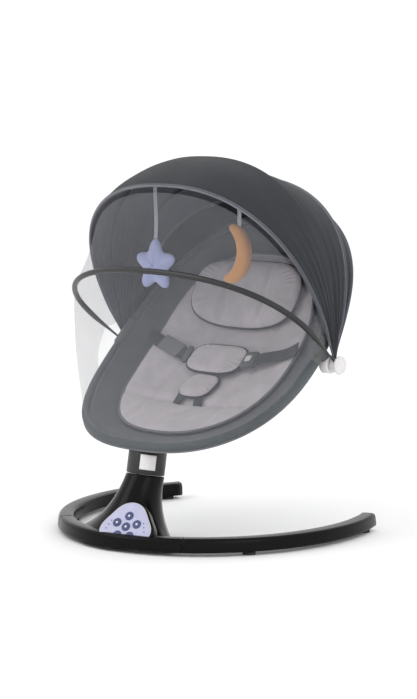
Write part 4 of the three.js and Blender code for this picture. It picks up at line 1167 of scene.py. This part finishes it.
def build_toys():
    toys = (("star", -0.104, 0.461, 0.043, 0.61377), ("moon", 0.093, 0.487, 0.049, 0.61718))
    y = 0.167
    t, a = grid(40, 160, columns_closed=True)
    turn = TURN * a
    p = np.sin(t * math.pi / 2)
    x0, z0, size = toys[0][1:4]
    reach = toy_radius(turn - math.pi / 2, size * 1.10)
    puff = 0.0115 * (1 - p ** 3.2) ** 0.55 * mix(1.0, reach / (size * 1.1), 0.6)
    x = x0 + reach * p * np.cos(turn)
    z = z0 + reach * p * np.sin(turn)
    front = np.stack([x, y - puff, z], axis=-1)
    back = np.stack([x, y + puff, z], axis=-1)
    star = surface("star_plush", np.concatenate([front, back[::-1][1:]]), finish("star_cloth"),
                   columns_closed=True, uv_size=(0.1, 0.1), flip=True)
    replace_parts(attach(star, "hanging_star"), "star_toy")

    x0, z0, size = toys[1][1:4]
    along = np.linspace(-1, 1, 90)
    sweep_turn = along * 96 * DEG
    radius = 0.036
    tip = 8 * DEG
    flat_x = radius * np.cos(sweep_turn) - 0.024
    flat_z = radius * 1.22 * np.sin(sweep_turn)
    path = np.stack([x0 + flat_x * math.cos(tip) + flat_z * math.sin(tip), np.full(90, y),
                     z0 - flat_x * math.sin(tip) + flat_z * math.cos(tip)], axis=-1)
    side, up = section_points(48, 0.0140, 0.0105, 2.3)
    scale = np.sqrt(np.clip(1 - np.abs(along) ** 2.4, 0.002, 1))
    moon = sweep("moon_plush", path, np.array([0, 1.0, 0]), side, up, finish("moon_cloth"),
                 scale=scale)
    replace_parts(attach(moon, "hanging_moon"), "moon_toy")

    for name, x0, z0, size, top in toys:
        bottom = z0 + size + (0.004 if name == "star" else -0.006)
        w = np.linspace(0, 1, 24)
        line = np.stack([x0 + 0.0006 * np.sin(6 * w), y + 0.0008 * np.sin(5 * w),
                         mix(bottom, top - 0.001, w)], axis=-1)
        side, up = section_points(12, 0.0045, 0.0005, 5)
        ribbon = sweep(f"{name}_ribbon_skin", line, np.array([0, 1.0, 0]), side, up,
                       finish("ribbon"))
        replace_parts(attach(ribbon, f"hanging_{name}"), f"{name}_ribbon")


# ---------------------------------------------------------------- CAD pieces left as they are

KEPT = {
    "satin_black": ("column_bottom_cover", "power_jack", "seat_spine", "seat_bracket",
                    "magnet_arm", "speaker"),
    "rubber": ("front_foot", "left_side_foot", "right_side_foot", "left_rear_foot",
               "right_rear_foot"),
    "board": ("control_board",),
    "steel": ("output_shaft", "upper_bearing", "lower_bearing"),
    "copper": ("drive_coil",),
}


def build_kept():
    for look, names in KEPT.items():
        for name in names:
            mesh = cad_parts[name].data
            mesh.materials.clear()
            mesh.materials.append(finish(look))


# ---------------------------------------------------------------- stage

def build_stage():
    """A pale floor, soft lamps and the camera."""
    material, main = shader("pale paper", (0.95, 0.95, 0.95), 0.9)
    place = object_coordinates(material)
    link(material, tint(material, noise(material, place, 3, 4), (0.94, 0.94, 0.94),
                        (0.96, 0.96, 0.96)), main.inputs["Base Color"])
    bpy.ops.mesh.primitive_plane_add(size=40, location=(0, 0, 0))
    floor = bpy.context.object
    floor.name = "floor"
    floor.data.materials.append(material)
    lamps = (
        ("key lamp", (-1.6, -2.6, 3.0), (0, 0.15, 0.3), 2.4, 30),
        ("side lamp", (3.2, -0.8, 1.8), (0, 0.2, 0.3), 2.0, 12),
        ("back lamp", (-1.2, 3.0, 2.4), (0, 0.2, 0.4), 2.2, 16),
    )
    for name, spot, aim, size, power in lamps:
        data = bpy.data.lights.new(name, "AREA")
        data.shape = "DISK"
        data.size = size
        data.energy = power
        lamp = bpy.data.objects.new(name, data)
        bpy.context.scene.collection.objects.link(lamp)
        lamp.location = spot
        lamp.rotation_euler = (Vector(aim) - Vector(spot)).to_track_quat("-Z", "Y").to_euler()
    world = bpy.data.worlds.new("studio")
    world.use_nodes = True
    world.node_tree.nodes["Background"].inputs["Color"].default_value = (1, 1, 1, 1)
    world.node_tree.nodes["Background"].inputs["Strength"].default_value = 1.06
    bpy.context.scene.world = world
    bpy.context.scene.view_settings.view_transform = "Standard"
    aim = Vector((0, 0.115, 0.305))
    azimuth, rise, distance = 43.1 * DEG, 6.583 * DEG, 3.5
    toward = Vector((math.sin(azimuth) * math.cos(rise), -math.cos(azimuth) * math.cos(rise),
                     math.sin(rise)))
    data = bpy.data.cameras.new("camera")
    data.sensor_fit = "HORIZONTAL"
    data.sensor_width = 36
    data.lens = 174.07
    data.shift_x = 0.0722
    data.shift_y = 0.0234
    camera = bpy.data.objects.new("camera", data)
    camera.location = aim + toward * distance
    camera.rotation_euler = (-toward).to_track_quat("-Z", "Y").to_euler()
    bpy.context.scene.collection.objects.link(camera)
    bpy.context.scene.camera = camera


# ---------------------------------------------------------------- operators

class SWING_OT_finishes(Operator):
    """Makes every finish of the swing"""

    bl_idname = "baby_swing.finishes"
    bl_label = "Finishes"

    def execute(self, context):
        make_finishes()
        return {"FINISHED"}


class SWING_OT_base(Operator):
    """Builds the legs, their caps and the column"""

    bl_idname = "baby_swing.base"
    bl_label = "Base and Column"

    def execute(self, context):
        build_base()
        return {"FINISHED"}


class SWING_OT_controls(Operator):
    """Builds the control panel, its buttons and its lamps"""

    bl_idname = "baby_swing.controls"
    bl_label = "Control Panel"

    def execute(self, context):
        build_controls()
        return {"FINISHED"}


class SWING_OT_neck(Operator):
    """Builds the turning neck and its blank label"""

    bl_idname = "baby_swing.neck"
    bl_label = "Neck"

    def execute(self, context):
        build_neck()
        return {"FINISHED"}


class SWING_OT_seat(Operator):
    """Builds the seat's cloth, lining, bound rim and zip"""

    bl_idname = "baby_swing.seat"
    bl_label = "Seat"

    def execute(self, context):
        build_seat_shell()
        return {"FINISHED"}


class SWING_OT_padding(Operator):
    """Builds the pad, pillow, belly pad and crotch pad"""

    bl_idname = "baby_swing.padding"
    bl_label = "Padding"

    def execute(self, context):
        build_padding()
        return {"FINISHED"}


class SWING_OT_harness(Operator):
    """Builds the straps, the sleeve, the buckle and the adjuster"""

    bl_idname = "baby_swing.harness"
    bl_label = "Harness"

    def execute(self, context):
        build_harness()
        return {"FINISHED"}


class SWING_OT_hubs(Operator):
    """Builds the two hubs and their knobs"""

    bl_idname = "baby_swing.hubs"
    bl_label = "Hubs"

    def execute(self, context):
        build_hubs()
        return {"FINISHED"}


class SWING_OT_hood(Operator):
    """Builds the hood's three panels, back skirt, bows, piping and stitching"""

    bl_idname = "baby_swing.hood"
    bl_label = "Hood"

    def execute(self, context):
        build_hood()
        build_skirt()
        return {"FINISHED"}


class SWING_OT_net(Operator):
    """Builds the net hoop and the two sheets of net"""

    bl_idname = "baby_swing.net"
    bl_label = "Insect Net"

    def execute(self, context):
        build_net()
        return {"FINISHED"}


class SWING_OT_toys(Operator):
    """Builds the star, the moon and their ribbons"""

    bl_idname = "baby_swing.toys"
    bl_label = "Toys"

    def execute(self, context):
        build_toys()
        return {"FINISHED"}


class SWING_OT_kept(Operator):
    """Gives the small parts that keep their CAD shape their finishes"""

    bl_idname = "baby_swing.kept"
    bl_label = "Small Parts"

    def execute(self, context):
        build_kept()
        return {"FINISHED"}


class SWING_OT_stage(Operator):
    """Builds the floor, the lamps and the camera"""

    bl_idname = "baby_swing.stage"
    bl_label = "Stage"

    def execute(self, context):
        build_stage()
        return {"FINISHED"}


STEPS = (SWING_OT_finishes, SWING_OT_base, SWING_OT_controls, SWING_OT_neck, SWING_OT_seat,
         SWING_OT_padding, SWING_OT_harness, SWING_OT_hubs, SWING_OT_hood, SWING_OT_net,
         SWING_OT_toys, SWING_OT_kept, SWING_OT_stage)


class SWING_PT_sidebar(Panel):
    """Lists the swing's building steps, sizes and colours"""

    bl_idname = "SWING_PT_sidebar"
    bl_label = "Baby Swing"
    bl_space_type = "VIEW_3D"
    bl_region_type = "UI"
    bl_category = "Baby Swing"

    def draw(self, context):
        layout = self.layout
        for step in STEPS:
            layout.operator(step.bl_idname)
        for group in (context.scene.baby_swing_sizes, context.scene.baby_swing_colours):
            box = layout.box()
            for key in group.__annotations__:
                box.prop(group, key)


CLASSES = (SwingSizes, SwingColours, *STEPS, SWING_PT_sidebar)


def register():
    for one in CLASSES:
        bpy.utils.register_class(one)
    bpy.types.Scene.baby_swing_sizes = PointerProperty(type=SwingSizes)
    bpy.types.Scene.baby_swing_colours = PointerProperty(type=SwingColours)


def unregister():
    del bpy.types.Scene.baby_swing_colours
    del bpy.types.Scene.baby_swing_sizes
    for one in reversed(CLASSES):
        bpy.utils.unregister_class(one)


def main():
    register()
    for step in STEPS:
        group, name = step.bl_idname.split(".")
        getattr(getattr(bpy.ops, group), name)()
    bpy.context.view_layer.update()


if __name__ == "__main__":
    main()
